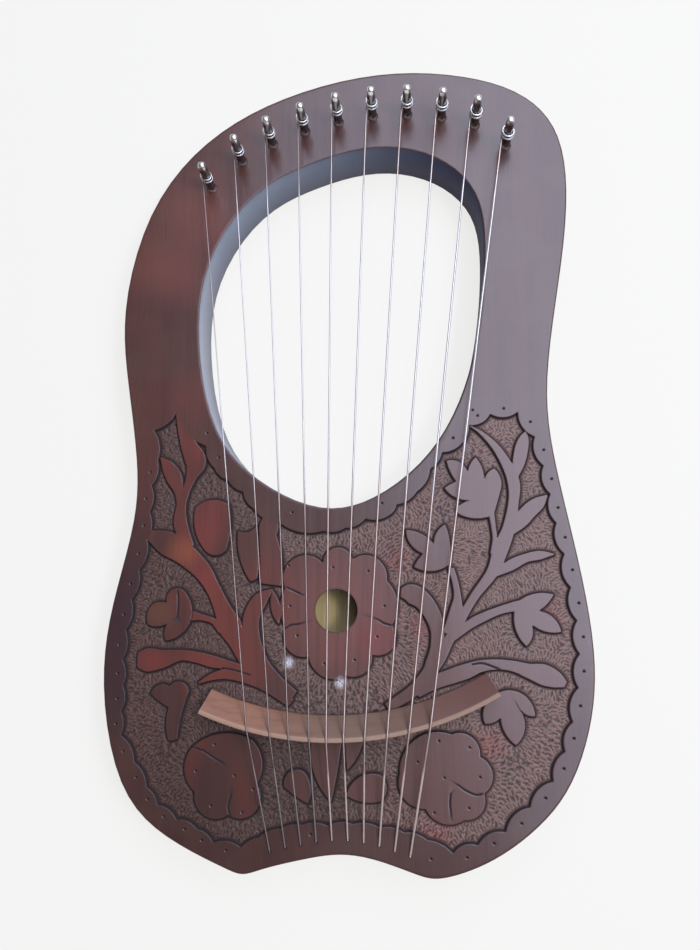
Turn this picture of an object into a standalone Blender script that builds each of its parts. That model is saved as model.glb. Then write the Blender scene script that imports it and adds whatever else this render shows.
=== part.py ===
"""Ten-string lyre harp with a carved rosewood body.

The body is one block of rosewood: a yoke, two arms and a bowl, with a window between the arms.
The bowl is hollowed from behind and closed by a pale back plate, with a brace under the face.
Steel tuning pins stand in the yoke. Each string is one wire: wound round its pin, over the
crest of a loose bridge, and through a hole above the tail to a ball end behind it.

The harp lies on its back. +Z points out of the face, +Y up to the yoke, and +X to the right
as seen from the front. The origin is at the middle of the outline, on the back.
"""

import math

import bmesh
import bpy
import numpy as np

MM = 0.001

# Body block
BODY_LENGTH = 448 * MM
BODY_WIDTH = 259.4 * MM
BODY_DEPTH = 29.5 * MM
EDGE_EASE = 1.0 * MM
OUTLINE_STEPS = 5

# The outline, counterclockwise from the left foot, in thousandths of half the width and length.
# The second group runs up the right side, the third over the yoke, the fourth down the left.
OUTLINE = (
    (-401, -1000), (-324, -989), (-170, -967), (-15, -954), (131, -965), (270, -990), (347, -1000),
    (440, -991), (586, -956), (756, -886), (890, -790), (978, -648), (999, -500),
    (953, -286), (883, -67), (858, 112), (910, 344), (975, 603), (953, 795), (818, 910),
    (540, 979), (154, 996), (-285, 938), (-640, 817), (-887, 616),
    (-984, 357), (-957, 165), (-903, -36), (-903, -188), (-976, -393), (-999, -585),
    (-907, -804), (-710, -923), (-478, -987),
)

# Window between the arms, about its own middle
WINDOW_WIDTH = 163 * MM
WINDOW_LENGTH = 212.4 * MM
WINDOW_MIDDLE = (-2 * MM, 69.8 * MM)
WINDOW = (
    (-209, 920), (-626, 740), (-945, 350), (-999, -102), (-859, -582), (-564, -850), (-135, -1000),
    (221, -949), (595, -718), (834, -384), (951, -17), (998, 397), (939, 708), (675, 920), (245, 998),
)

# Hollow of the bowl, cut from behind, and the ledge that takes the back plate
WALL = 9 * MM
FACE_THICK = 4.5 * MM
LEDGE = 3.5 * MM
WINDOW_WALL = 12 * MM
TAIL_WALL = 3 * MM
CARVED_STEP = 9 * MM
BACK_THICK = 3.2 * MM
SEAT_GAP = 0.3 * MM

# Sound hole, below the window
SOUND_HOLE_WIDTH = 23 * MM
SOUND_HOLE_X = -4.3 * MM
SOUND_HOLE_DROP = 55 * MM
SOUND_HOLE_SIDES = 40

# Carving of the bowl's face: the ground is cut back, and leaves, stems and flowers stay standing
GROUND_DEPTH = 1.5 * MM
STEM_STEPS = 2
ARC_TURN = math.radians(30)
LEAST_STEM = 0.6

# The carving's places and widths are drawn in millimetres on a body of this width and length,
# and follow the body's own.
DRAWN_ON = (259.4, 448)

# The border's inner edge: where its lobes meet, clockwise from the top of its right side, and
# how far the lobes of each stretch swell inward, as a share of their length
BORDER_RIGHT = (
    (68.5, 8.5), (80, 14.5), (95, 15.5), (103.5, 1.5), (107.5, -14.5), (110.5, -30), (113, -45.5),
    (116.5, -62), (119, -79.5), (121.5, -96.5), (122, -113.5), (120.5, -130.5), (117, -147.5),
    (112.5, -162), (106, -176.5), (94, -189), (81.5, -201), (67.5, -207.5),
)
BORDER_TAIL = (
    (55, -211.5), (42.5, -205.5), (30.5, -202), (18.5, -200), (4.5, -198.5), (-8.5, -199.5),
    (-21.5, -199.5), (-32.5, -201.5), (-44, -206),
)
BORDER_LEFT = (
    (-53, -211), (-67.5, -209), (-76, -202.5), (-87, -198), (-97.5, -191), (-103.5, -182.5),
    (-110.5, -170), (-118.5, -156.5), (-119, -144.5), (-118.5, -131), (-119.5, -117.5), (-118.5, -102),
    (-116, -85.5), (-112.5, -69.5), (-108.5, -53), (-108, -37.5), (-107.5, -23), (-104.5, -8.5),
)
BORDER_TOP = (
    (-107.5, 8.5), (-95, 18.5), (-77.5, -1), (-72.5, -13.5), (-64.5, -20.5), (-56, -27), (-50.5, -36),
    (-34.5, -45), (-11.5, -49), (0.5, -47.5), (11.5, -42.5), (24, -41), (28.5, -35), (39.5, -28),
    (47, -15.5), (53.5, -6.5), (64.5, -1.5),
)
BORDER_SWELLS = ((BORDER_RIGHT, 0.17), (BORDER_TAIL, 0.1), (BORDER_LEFT, 0.13), (BORDER_TOP, 0.12))

# Stems and bent leaves: places along the middle, each with the width there
STEMS = {
    "right_stem": (
        (22.5, -141.5, 5.5), (35.5, -133, 6.5), (43, -125, 7), (49.5, -115.5, 8), (55.5, -106, 5.5),
        (61, -97, 5), (69, -84, 5), (78.5, -71.5, 6.5), (83.5, -59, 8.5), (88, -48, 7), (91, -34, 6),
        (91.5, -24, 7), (88.5, -14.5, 6), (82.5, -4, 4.5), (75, 4, 2.5), (69, 8, 0.8)),
    "right_bud_stem": ((79, -39.5, 3.5), (80, -47.5, 3), (80.5, -54, 3), (79.5, -62, 4)),
    "middle_bud_stem": ((57, -69, 3.5), (59, -76.5, 3.7), (60, -84, 4.3), (59, -92, 7), (55, -104, 7)),
    "small_flower_stem": (
        (59, -105.5, 7), (66, -98.7, 5), (74, -94.5, 5), (82, -91.3, 4.5), (91, -89, 5.5), (97, -88.5, 6.5)),
    "top_leaf": ((92, -21.5, 3), (94.5, -12.5, 7), (96.5, -4, 7.5), (98, 1.5, 5), (98.5, 4.5, 0.6)),
    "second_leaf": ((90, -51.5, 6), (94, -45, 7.5), (99, -39, 8.5), (104.5, -34.5, 7), (109, -30.5, 1)),
    "third_leaf": ((80.5, -73.5, 5), (88, -68, 6), (96.5, -64, 5), (104, -62.5, 5), (111.5, -62, 0.8)),
    "inner_leaf": (
        (30, -82, 5), (35.5, -82.5, 10.5), (41.5, -86, 10), (46.5, -93, 9), (49, -101.5, 7.5), (48.5, -111, 7),
        (45, -119, 5.5), (42, -124, 2)),
    "long_leaf": (
        (38, -134.5, 4), (47, -128.5, 7), (56.5, -125, 8), (64, -122.5, 8), (71, -120, 6.5), (80, -119, 5.5),
        (88.5, -120, 6), (96, -122.3, 8), (103, -124, 11), (109.5, -126.5, 9), (114.5, -129, 3.5)),
    "left_top_leaf": (
        (-95, 18, 0.6), (-91.5, 9, 5), (-87, -1, 9.5), (-83, -10, 12), (-85.5, -19, 6), (-88.5, -28, 4.5),
        (-90.5, -36, 6), (-90, -46, 8), (-84.5, -57.5, 5)),
    "left_side_leaf": (
        (-103, -7, 1), (-98.5, -12.5, 7.5), (-94.5, -19.5, 9), (-92.3, -27, 4.5), (-92.5, -35, 0.6)),
    "left_stem": (
        (-108.5, -50, 5), (-98.5, -54.5, 13), (-87.5, -61, 12), (-77.5, -70, 10), (-71, -80, 8),
        (-65.5, -91, 9.5), (-61.5, -99.5, 13), (-57.5, -108, 9), (-53.5, -117, 6), (-48, -126, 5.5)),
    "centre_stem": (
        (-38.5, -80, 1), (-45, -85.5, 8), (-49.5, -93.5, 9), (-50, -101.5, 9), (-48, -111.5, 9.5),
        (-43.5, -121.5, 10), (-36, -130, 10), (-27, -136.5, 8)),
    "left_flower_stem": ((-82.3, -94.2, 5.5), (-77, -95, 3.5), (-70.5, -97, 3.5), (-65.5, -102, 5)),
    "left_long_leaf": (
        (-111.5, -117.5, 8), (-106, -117.5, 12.5), (-98, -117, 10), (-88, -115, 6), (-79, -116, 6),
        (-70, -118.3, 6.5), (-61, -120, 4.5), (-52, -123, 5), (-44.5, -125.5, 3)),
    "left_low_leaf": (
        (-78, -129.5, 1), (-70, -126, 4), (-61.5, -124.5, 6), (-51.5, -125.7, 8), (-43, -128.5, 8.5),
        (-35, -134, 6.5), (-28, -139.5, 5)),
}

# Flowers and short leaves, clockwise: their corners, each with how far the side that follows
# swells outward, as a share of its length
BLOOMS = {
    "right_bud": (
        (76, -21, 0.14), (81.5, -15.5, 0.15), (84.5, -28, 0), (80.5, -41, 0.11), (62.5, -41, 0.35),
        (62.5, -35, 0.05), (67.5, -33, 0.14), (54, -26, 0.03), (60.5, -22.5, 0.06), (55.5, -11, 0.22),
        (67, -17, 0.09), (71.5, -9, 0.09)),
    "middle_bud": (
        (33, -48.5, 0.12), (48, -56, 0.16), (54.5, -45.5, 0.08), (56, -67.5, 0.16), (37, -68.5, 0.05),
        (42, -61.5, 0.16)),
    "small_flower": (
        (91, -87, 0.13), (110.5, -83, 0.07), (102.5, -91.5, 0.17), (113.5, -102.5, 0.12), (98.5, -99, 0.16),
        (95, -110, 0.17)),
    "low_bud": (
        (77, -135, 0.33), (98.5, -145, 0.15), (91, -142, 0.2), (88, -159.5, 0.12), (80.5, -146, 0.12),
        (72.5, -149, 0.2)),
    "right_rose": (
        (28.5, -174, 0.27), (55.5, -154, 0.29), (70, -165, 0.3), (71.5, -183, 0.28), (61, -196, 0.23),
        (41.5, -191, 0.27)),
    "centre_rose": (
        (-32, -79.5, 0.44), (-11.5, -66, 0.46), (4.5, -64, 0.33), (23, -75.5, 0.18), (25.5, -99, 0.37),
        (15, -114.5, 0.27), (1.5, -125.5, 0.26), (-19, -115.5, 0.32), (-31.5, -100.5, 0.13)),
    "left_bud": ((-82.5, -35.5, 0.19), (-63.5, -34, 0.07), (-64.5, -59, 0.23), (-76, -59.5, 0.12)),
    "centre_petal": ((-58.5, -48.5, -0.2), (-48, -45, 0.04), (-47, -74, 0.1), (-51, -76, 0.09)),
    "centre_flower": (
        (-46, -77, 0), (-46.5, -50, 0.18), (-41, -38.5, 0.22), (-37, -51, 0.07), (-34, -78.5, 0)),
    "centre_leaf": ((-38.5, -80.5, 0.14), (-35, -99, 0.15)),
    "left_flower": (
        (-96.5, -87, 0.45), (-86, -82, 0.31), (-96.5, -107.5, 0.13), (-96, -98.5, 0.12), (-106.5, -99, 0.19),
        (-103, -87, 0.05)),
    "tulip": (
        (-103.5, -135, 0.26), (-93.5, -131, 0.34), (-82.5, -134, -0.04), (-88, -158, 0.1), (-93, -159, 0.08),
        (-93.5, -142, 0.05)),
    "left_rose": (
        (-80, -162, 0.16), (-48, -158, 0.18), (-45, -180, 0.42), (-60, -195.5, 0.34), (-78, -184.5, 0.22)),
    "tail_leaf_1": ((-17, -156.5, 0), (-1, -156.5, 0.02), (-6.5, -188.5, 0.13)),
    "tail_leaf_2": ((0, -156.5, 0), (10.5, -156.5, 0.08), (1.5, -173, 0)),
    "tail_leaf_3": ((1, -185, 0.22), (19, -174.5, 0.22), (19.5, -187.5, 0.11)),
    "tail_leaf_4": ((-31, -181.5, 0.38), (-20, -174, 0.15), (-18.5, -189.5, 0.03)),
}

# Brace under the face, behind the bridge
BRACE_WIDTH = 10 * MM
BRACE_HEIGHT = 9 * MM
BRACE_ABOVE_CREST = 5 * MM

# The strings, left to right: how far to the right of its even place each one crosses the bridge
CREST_OFFSETS = [offset * MM for offset in (0.2, 1.8, 1.1, 1.3, -0.4, -2, -1.7, -0.7, 0, 0.4)]
STRINGS = len(CREST_OFFSETS)

# Tuning pins: a row that follows the yoke and drifts inward to the right
PIN_WIDTH = 5 * MM
PIN_ABOVE_FACE = 26 * MM
PIN_IN_WOOD = 18.5 * MM
PIN_HOLE_GAP = 0.35 * MM
PIN_HEAD = 7.5 * MM
PIN_FLATS = 4.3 * MM
PIN_DOME = 0.8 * MM
PIN_POINT = 1.5 * MM
PIN_SIDES = 16
PIN_INSET = 26.5 * MM
PIN_DRIFT = 6.5 * MM
PIN_PITCH = 20.4 * MM
PIN_END_GAPS = (23.4 * MM, 25 * MM)
PIN_ROW_SHIFT = -15 * MM

# Bridge: an arc with a ramp on the yoke's side and a crest on the tail's side
BRIDGE_HEIGHT = 11 * MM
BRIDGE_FOOT = 12.5 * MM
BRIDGE_TOE = 2.2 * MM
BRIDGE_CREST = 1.8 * MM
BRIDGE_BEND = 172 * MM
BRIDGE_LOW_X = -7 * MM
BRIDGE_ABOVE_TAIL = 57.1 * MM
BRIDGE_REACH_LEFT = 69 * MM
BRIDGE_REACH_RIGHT = 91 * MM
BRIDGE_STEPS = 24
BRIDGE_PITCH = 10.4 * MM
BRIDGE_ROW_MIDDLE = -2.5 * MM

# Strings: wire from thin at the left to thick at the right
THIN_WIRE = 0.6 * MM
THICK_WIRE = 1.1 * MM
COIL_TURNS = 2
COIL_POINTS = 10
COIL_RISE = 2.2 * MM
COIL_GAP = 0.4 * MM
COIL_ABOVE_FACE = 10.5 * MM
WIRE_GAP = 0.3 * MM
LEAST_WIRE_GAP = 0.4 * MM

# Tail holes, in a row that follows the tail's arch, and the ball ends behind them
TAIL_INSET = 7.4 * MM
TAIL_PITCH = 8.1 * MM
TAIL_HOLE_WIDTH = 2.6 * MM
BALL_WIDTH = 4 * MM
BALL_LENGTH = 3.6 * MM
BALL_GROOVE_WIDTH = 3 * MM
BALL_FLANGE = 0.7 * MM
BALL_BORE = 1.4 * MM
BALL_SIDES = 12
BALL_POCKET_WIDTH = 6 * MM
BALL_POCKET_DEPTH = 7 * MM
HOLE_SIDES = 20

CUT_PAST = 2 * MM

ROSEWOOD = ((0.19, 0.075, 0.06), 0.45, 0.0)
PALE_WOOD = ((0.62, 0.5, 0.3), 0.6, 0.0)
BRIDGE_WOOD = ((0.42, 0.25, 0.17), 0.5, 0.0)
STEEL = ((0.72, 0.71, 0.7), 0.22, 1.0)
BRASS = ((0.75, 0.55, 0.25), 0.3, 1.0)


def clear_scene():
    for old in list(bpy.data.objects):
        bpy.data.objects.remove(old, do_unlink=True)


def make_material(name, finish):
    colour, roughness, metallic = finish
    material = bpy.data.materials.new(name)
    material.use_nodes = True
    material.diffuse_color = (*colour, 1)
    shader = material.node_tree.nodes["Principled BSDF"]
    shader.inputs["Base Color"].default_value = (*colour, 1)
    shader.inputs["Roughness"].default_value = roughness
    shader.inputs["Metallic"].default_value = metallic
    return material


def smooth_loop(points, steps):
    """Points on the closed curve of even bend, a periodic cubic, through the given points."""
    here = np.array(points, dtype=float)
    count = len(here)
    after = np.roll(here, -1, axis=0)
    gap = np.sqrt(np.linalg.norm(after - here, axis=1))
    slope = (after - here) / gap[:, None]
    system = np.zeros((count, count))
    for i in range(count):
        system[i, i - 1] = gap[i - 1]
        system[i, i] = 2 * (gap[i - 1] + gap[i])
        system[i, (i + 1) % count] = gap[i]
    bend = np.linalg.solve(system, 6 * (slope - np.roll(slope, 1, axis=0)))
    bend_after = np.roll(bend, -1, axis=0)
    loop = []
    for i in range(count):
        for t in np.arange(steps) / steps:
            s = 1 - t
            pull = (s ** 3 - s) * bend[i] + (t ** 3 - t) * bend_after[i]
            loop.append(s * here[i] + t * after[i] + gap[i] ** 2 / 6 * pull)
    return np.array(loop)


def sized_loop(shape, width, length, middle=(0, 0)):
    """A shape in thousandths, smoothed, then set to an exact width and length about a middle."""
    loop = smooth_loop(shape, OUTLINE_STEPS)
    low, high = loop.min(axis=0), loop.max(axis=0)
    return (loop - (low + high) / 2) / (high - low) * (width, length) + middle


def outward(loop):
    """The unit normal at each point of a counterclockwise loop, pointing away from its inside."""
    along = np.roll(loop, -1, axis=0) - np.roll(loop, 1, axis=0)
    out = np.column_stack((along[:, 1], -along[:, 0]))
    return out / np.linalg.norm(out, axis=1)[:, None]


def grow(loop, distance):
    return loop + distance * outward(loop)


def clip(loop, height, keep_below):
    """The part of a loop below, or above, a level line."""
    kept = []
    for here, after in zip(loop, np.roll(loop, -1, axis=0)):
        inside = (here[1] < height) == keep_below
        inside_after = (after[1] < height) == keep_below
        if inside:
            kept.append(here)
        if inside != inside_after:
            kept.append(here + (height - here[1]) / (after[1] - here[1]) * (after - here))
    return np.array(kept)


def even_loop(loop, spacing):
    """A loop with its points spread evenly and its corners eased by averaging neighbours."""
    closed = np.vstack((loop, loop[:1]))
    reach = np.concatenate(([0], np.cumsum(np.linalg.norm(np.diff(closed, axis=0), axis=1))))
    stops = np.linspace(0, reach[-1], round(reach[-1] / spacing), endpoint=False)
    even = np.column_stack([np.interp(stops, reach, closed[:, axis]) for axis in (0, 1)])
    for _ in range(2):
        even = (np.roll(even, 1, axis=0) + 2 * even + np.roll(even, -1, axis=0)) / 4
    return even


def place_on(loop, start, distance):
    """The point, and the outward normal there, at a clockwise distance from a loop's point."""
    turned = np.roll(loop, -start, axis=0)
    normals = np.roll(outward(loop), -start, axis=0)
    step = 1 if distance < 0 else -1
    left = abs(distance)
    at = 0
    while True:
        here, after = turned[at], turned[(at + step) % len(turned)]
        length = np.linalg.norm(after - here)
        if left <= length:
            share = left / length
            normal = normals[at] * (1 - share) + normals[(at + step) % len(turned)] * share
            return here + share * (after - here), normal / np.linalg.norm(normal)
        left -= length
        at = (at + step) % len(turned)


def span_at(loop, height):
    """The lowest and highest x at which a loop crosses a level line."""
    crossings = []
    for here, after in zip(loop, np.roll(loop, -1, axis=0)):
        if (here[1] < height) != (after[1] < height):
            crossings.append(here[0] + (height - here[1]) / (after[1] - here[1]) * (after[0] - here[0]))
    return min(crossings), max(crossings)


def add_object(name, data, material=None):
    thing = bpy.data.objects.new(name, data)
    bpy.context.collection.objects.link(thing)
    if material:
        data.materials.append(material)
    return thing


def skin(name, rings, closed=False):
    """A mesh over rings with equal counts of points, capped at both ends or closed on itself."""
    mesh = bmesh.new()
    rows = [[mesh.verts.new(point) for point in ring] for ring in rings]
    pairs = list(zip(rows, rows[1:]))
    if closed:
        pairs.append((rows[-1], rows[0]))
    else:
        mesh.faces.new(rows[0][::-1])
        mesh.faces.new(rows[-1])
    for low, high in pairs:
        for i in range(len(low)):
            j = (i + 1) % len(low)
            mesh.faces.new((low[i], low[j], high[j], high[i]))
    data = bpy.data.meshes.new(name)
    mesh.to_mesh(data)
    mesh.free()
    return data


def level_ring(loop, height):
    return [(x, y, height) for x, y in loop]


def circle(radius, sides, middle=(0, 0)):
    turns = np.arange(sides) * 2 * math.pi / sides
    return np.column_stack((np.cos(turns), np.sin(turns))) * radius + middle


def eased_block(name, loop):
    """The body's block, with its front and back edges eased."""
    inner = grow(loop, -EDGE_EASE)
    return skin(name, [
        level_ring(inner, 0), level_ring(loop, EDGE_EASE),
        level_ring(loop, BODY_DEPTH - EDGE_EASE), level_ring(inner, BODY_DEPTH),
    ])


def eased_opening(name, loop):
    """A cutter through the whole body, flared at both faces so that the opening's edges are eased."""
    outer = grow(loop, EDGE_EASE)
    return skin(name, [
        level_ring(outer, -CUT_PAST), level_ring(outer, 0), level_ring(loop, EDGE_EASE),
        level_ring(loop, BODY_DEPTH - EDGE_EASE), level_ring(outer, BODY_DEPTH),
        level_ring(outer, BODY_DEPTH + CUT_PAST),
    ])


def cut(body, name, loops, low, high):
    """Cut straight-sided holes, given by their loops, between two heights of a body."""
    joined = bmesh.new()
    for loop in loops:
        joined.from_mesh(skin(name, [level_ring(loop, low), level_ring(loop, high)]))
    data = bpy.data.meshes.new(name)
    joined.to_mesh(data)
    joined.free()
    cut_with(body, name, data)


def cut_with(body, name, data):
    """Cut a body with a mesh, whose parts may overlap, and return the cutter."""
    cutter = add_object(name, data)
    cutter.hide_render = True
    cutter.display_type = "WIRE"
    modifier = body.modifiers.new(name, "BOOLEAN")
    modifier.operation = "DIFFERENCE"
    modifier.use_self = True
    modifier.object = cutter
    return cutter


def shade_round(data, angle=35):
    data.shade_smooth()
    data.set_sharp_from_angle(angle=math.radians(angle))


def yoke_top():
    """The place in the outline's loop of the topmost of its given points."""
    heights = [y for _, y in OUTLINE]
    return heights.index(max(heights)) * OUTLINE_STEPS


def arch_top():
    """The place in the outline's loop of the top of the tail's arch, at the middle of the tail."""
    offsets = [(abs(x), i) for i, (x, y) in enumerate(OUTLINE) if y < 0]
    return min(offsets)[1] * OUTLINE_STEPS


def pin_places(outline):
    """Where the pins stand: along a row inside the yoke's edge, with wider gaps at its two ends."""
    row = grow(outline, -PIN_INSET)
    gaps = [PIN_END_GAPS[0]] + [PIN_PITCH] * (STRINGS - 3) + [PIN_END_GAPS[1]]
    reach = sum(gaps)
    places = []
    for k in range(STRINGS):
        distance = sum(gaps[:k]) - reach / 2 + PIN_ROW_SHIFT
        point, normal = place_on(row, yoke_top(), distance)
        drift = PIN_DRIFT * (k / (STRINGS - 1) - 0.5)
        places.append(point - drift * normal)
    return places


def tail_places(outline):
    """Where the strings enter the tail: along a row inside the tail's arch, left to right."""
    row = grow(outline, -TAIL_INSET)
    places = []
    for k in range(STRINGS):
        distance = (k - (STRINGS - 1) / 2) * TAIL_PITCH
        places.append(place_on(row, arch_top(), -distance)[0])
    return places


def bridge_low_point(outline):
    """Where the bridge comes nearest the tail, a set distance above the tail's arch."""
    return np.array((BRIDGE_LOW_X, outline[arch_top()][1] + BRIDGE_ABOVE_TAIL))


def bridge_middle(outline):
    """The middle of the arc that the bridge's crest lies on."""
    return bridge_low_point(outline) + (0, BRIDGE_BEND)


def crest_places(outline):
    """Where the strings cross the crest's middle: nearly evenly, as they were set by hand."""
    middle = bridge_middle(outline)
    radius = BRIDGE_BEND - BRIDGE_CREST / 2
    places = []
    for k, offset in enumerate(CREST_OFFSETS):
        x = BRIDGE_ROW_MIDDLE + (k - (STRINGS - 1) / 2) * BRIDGE_PITCH + offset
        places.append(np.array((x, middle[1] - math.sqrt(radius ** 2 - (x - middle[0]) ** 2))))
    return places


def hollow_loop(outline, window, grown):
    """The hollow's outline, or with a growth its ledge's: within the walls, window and tail block."""
    tail_top = outline[arch_top()][1] + TAIL_INSET + BALL_POCKET_WIDTH / 2
    low = tail_top + TAIL_WALL + LEDGE - grown
    high = window[:, 1].min() - WINDOW_WALL + grown
    inside = clip(grow(outline, grown - WALL), high, keep_below=True)
    return even_loop(clip(inside, low, keep_below=False), CARVED_STEP)


def make_body(outline, window, pins, tail, material):
    body = add_object("body", eased_block("body", outline), material)
    cut_with(body, "window_cutter", eased_opening("window_cutter", window))
    under_face = BODY_DEPTH - FACE_THICK
    cut(body, "hollow_cutter", [hollow_loop(outline, window, 0)], -CUT_PAST, under_face)
    ledge_depth = BACK_THICK + SEAT_GAP
    cut(body, "ledge_cutter", [hollow_loop(outline, window, LEDGE)], -CUT_PAST, ledge_depth)
    sound_hole = circle(SOUND_HOLE_WIDTH / 2, SOUND_HOLE_SIDES, sound_hole_middle(window))
    cut(body, "sound_hole_cutter", [sound_hole], under_face - CUT_PAST, BODY_DEPTH + CUT_PAST)
    pin_bores = [circle(PIN_WIDTH / 2 + PIN_HOLE_GAP, HOLE_SIDES, place) for place in pins]
    pin_floor = BODY_DEPTH - PIN_IN_WOOD - SEAT_GAP
    cut(body, "pin_hole_cutter", pin_bores, pin_floor, BODY_DEPTH + CUT_PAST)
    tail_bores = [circle(TAIL_HOLE_WIDTH / 2, HOLE_SIDES, place) for place in tail]
    cut(body, "tail_hole_cutter", tail_bores, -CUT_PAST, BODY_DEPTH + CUT_PAST)
    pockets = [circle(BALL_POCKET_WIDTH / 2, HOLE_SIDES, place) for place in tail]
    cut(body, "ball_pocket_cutter", pockets, -CUT_PAST, BALL_POCKET_DEPTH)
    carve_ground(body)


def stem_loop(places):
    """The outline of a stem: a smooth line through its places, with the widths set off from it."""
    places = np.array(places, dtype=float)
    run = np.vstack((2 * places[0] - places[1], places, 2 * places[-1] - places[-2]))
    line = []
    for before, here, after, beyond in zip(run, run[1:], run[2:], run[3:]):
        for t in np.arange(STEM_STEPS) / STEM_STEPS:
            slope, slope_after = (after - before) / 2, (beyond - here) / 2
            line.append((2 * t ** 3 - 3 * t ** 2 + 1) * here + (t ** 3 - 2 * t ** 2 + t) * slope
                        + (3 * t ** 2 - 2 * t ** 3) * after + (t ** 3 - t ** 2) * slope_after)
    line = np.array(line + [places[-1]])
    along = np.gradient(line[:, :2], axis=0)
    side = np.column_stack((along[:, 1], -along[:, 0])) / np.linalg.norm(along, axis=1)[:, None]
    half = side * np.maximum(line[:, 2:], LEAST_STEM) / 2
    return np.vstack((line[:, :2] + half, (line[:, :2] - half)[::-1]))


def arc_loop(corners):
    """A clockwise outline whose sides are arcs, each with its swell to the left of the way round."""
    loop = []
    for (x, y, swell), (next_x, next_y, _) in zip(corners, corners[1:] + corners[:1]):
        way = np.array((next_x - x, next_y - y))
        left = np.array((-way[1], way[0]))
        half_turn = 2 * math.atan(2 * swell)
        loop.append(np.array((x, y)))
        facets = math.ceil(2 * abs(half_turn) / ARC_TURN)
        for i in range(1, facets):
            turn = (2 * i / facets - 1) * half_turn
            along = (1 + math.sin(turn) / math.sin(half_turn)) / 2
            rise = (math.cos(turn) - math.cos(half_turn)) / math.sin(half_turn) / 2
            loop.append((x, y) + along * way + rise * left)
    return np.array(loop)


def drawn(loop):
    """An outline of the carving, counterclockwise, at the size of the body."""
    after = np.roll(loop, -1, axis=0)
    clockwise = (loop[:, 0] * after[:, 1] - after[:, 0] * loop[:, 1]).sum() < 0
    return (loop[::-1] if clockwise else loop) * (BODY_WIDTH, BODY_LENGTH) / DRAWN_ON


def carve_ground(body):
    """Cut the ground back inside the border, and leave the raised work standing in it."""
    floor = BODY_DEPTH - GROUND_DEPTH
    border = [(x, y, -swell) for notches, swell in BORDER_SWELLS for x, y in notches]
    field = [level_ring(drawn(arc_loop(border)), height) for height in (floor, BODY_DEPTH + CUT_PAST)]
    ground = cut_with(body, "ground_cutter", skin("ground_cutter", field))
    raised = [drawn(stem_loop(places)) for places in STEMS.values()]
    raised += [drawn(arc_loop(corners)) for corners in BLOOMS.values()]
    cut(ground, "raised_work", raised, floor - CUT_PAST, BODY_DEPTH + 2 * CUT_PAST)


def sound_hole_middle(window):
    return SOUND_HOLE_X, window[:, 1].min() - SOUND_HOLE_DROP


def make_back_plate(outline, window, material):
    loop = grow(hollow_loop(outline, window, LEDGE), -SEAT_GAP)
    rings = [level_ring(loop, 0), level_ring(loop, BACK_THICK)]
    add_object("back_plate", skin("back_plate", rings), material)


def make_brace(outline, window, material):
    """A bar from wall to wall of the hollow, its ends cut to the walls' slant."""
    hollow = hollow_loop(outline, window, 0)
    top = BODY_DEPTH - FACE_THICK - SEAT_GAP
    middle = bridge_low_point(outline)[1] + BRACE_ABOVE_CREST
    low, high = middle - BRACE_WIDTH / 2, middle + BRACE_WIDTH / 2
    ends = [span_at(grow(hollow, -SEAT_GAP), height) for height in (low, high)]
    loop = [(ends[0][0], low), (ends[0][1], low), (ends[1][1], high), (ends[1][0], high)]
    rings = [level_ring(loop, top - BRACE_HEIGHT), level_ring(loop, top)]
    add_object("brace", skin("brace", rings), material)


def make_bridge(outline, material):
    """The bridge's section, swept along its arc from its left end to its right."""
    base = BODY_DEPTH + SEAT_GAP
    tail_side = BRIDGE_BEND + BRIDGE_CREST / 2
    section = [
        (tail_side - BRIDGE_FOOT, 0), (tail_side - BRIDGE_FOOT, BRIDGE_TOE),
        (tail_side - BRIDGE_CREST, BRIDGE_HEIGHT), (tail_side, BRIDGE_HEIGHT), (tail_side, 0),
    ]
    middle = bridge_middle(outline)
    rings = []
    for k in range(BRIDGE_STEPS + 1):
        reach = -BRIDGE_REACH_LEFT + (BRIDGE_REACH_LEFT + BRIDGE_REACH_RIGHT) * k / BRIDGE_STEPS
        turn = reach / BRIDGE_BEND
        out = np.array((math.sin(turn), -math.cos(turn)))
        rings.append([(*(middle + out * radius), base + height) for radius, height in section])
    data = skin("bridge", rings)
    shade_round(data)
    add_object("bridge", data, material)


def pin_mesh():
    """A round pin with four flats filed on its head, a low dome on top and a blunt point below."""
    round_ring = circle(PIN_WIDTH / 2, PIN_SIDES)
    reach = np.abs(round_ring).max(axis=1)
    head_ring = round_ring * np.minimum(1, PIN_FLATS / 2 / reach)[:, None]
    flats_start = PIN_ABOVE_FACE - PIN_HEAD
    flat_runout = (PIN_WIDTH - PIN_FLATS) / 2
    data = skin("tuning_pin", [
        level_ring(round_ring * 0.7, -PIN_IN_WOOD),
        level_ring(round_ring, -PIN_IN_WOOD + PIN_POINT),
        level_ring(round_ring, flats_start),
        level_ring(head_ring, flats_start + flat_runout),
        level_ring(head_ring, PIN_ABOVE_FACE - PIN_DOME),
        level_ring(head_ring * 0.75, PIN_ABOVE_FACE),
    ])
    shade_round(data)
    return data


def make_pins(places, material):
    data = pin_mesh()
    data.materials.append(material)
    for k, place in enumerate(places, start=1):
        pin = add_object(f"tuning_pin_{k}", data)
        pin.location = (*place, BODY_DEPTH)


def wire_width(k):
    return THIN_WIRE + (THICK_WIRE - THIN_WIRE) * k / (STRINGS - 1)


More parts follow.
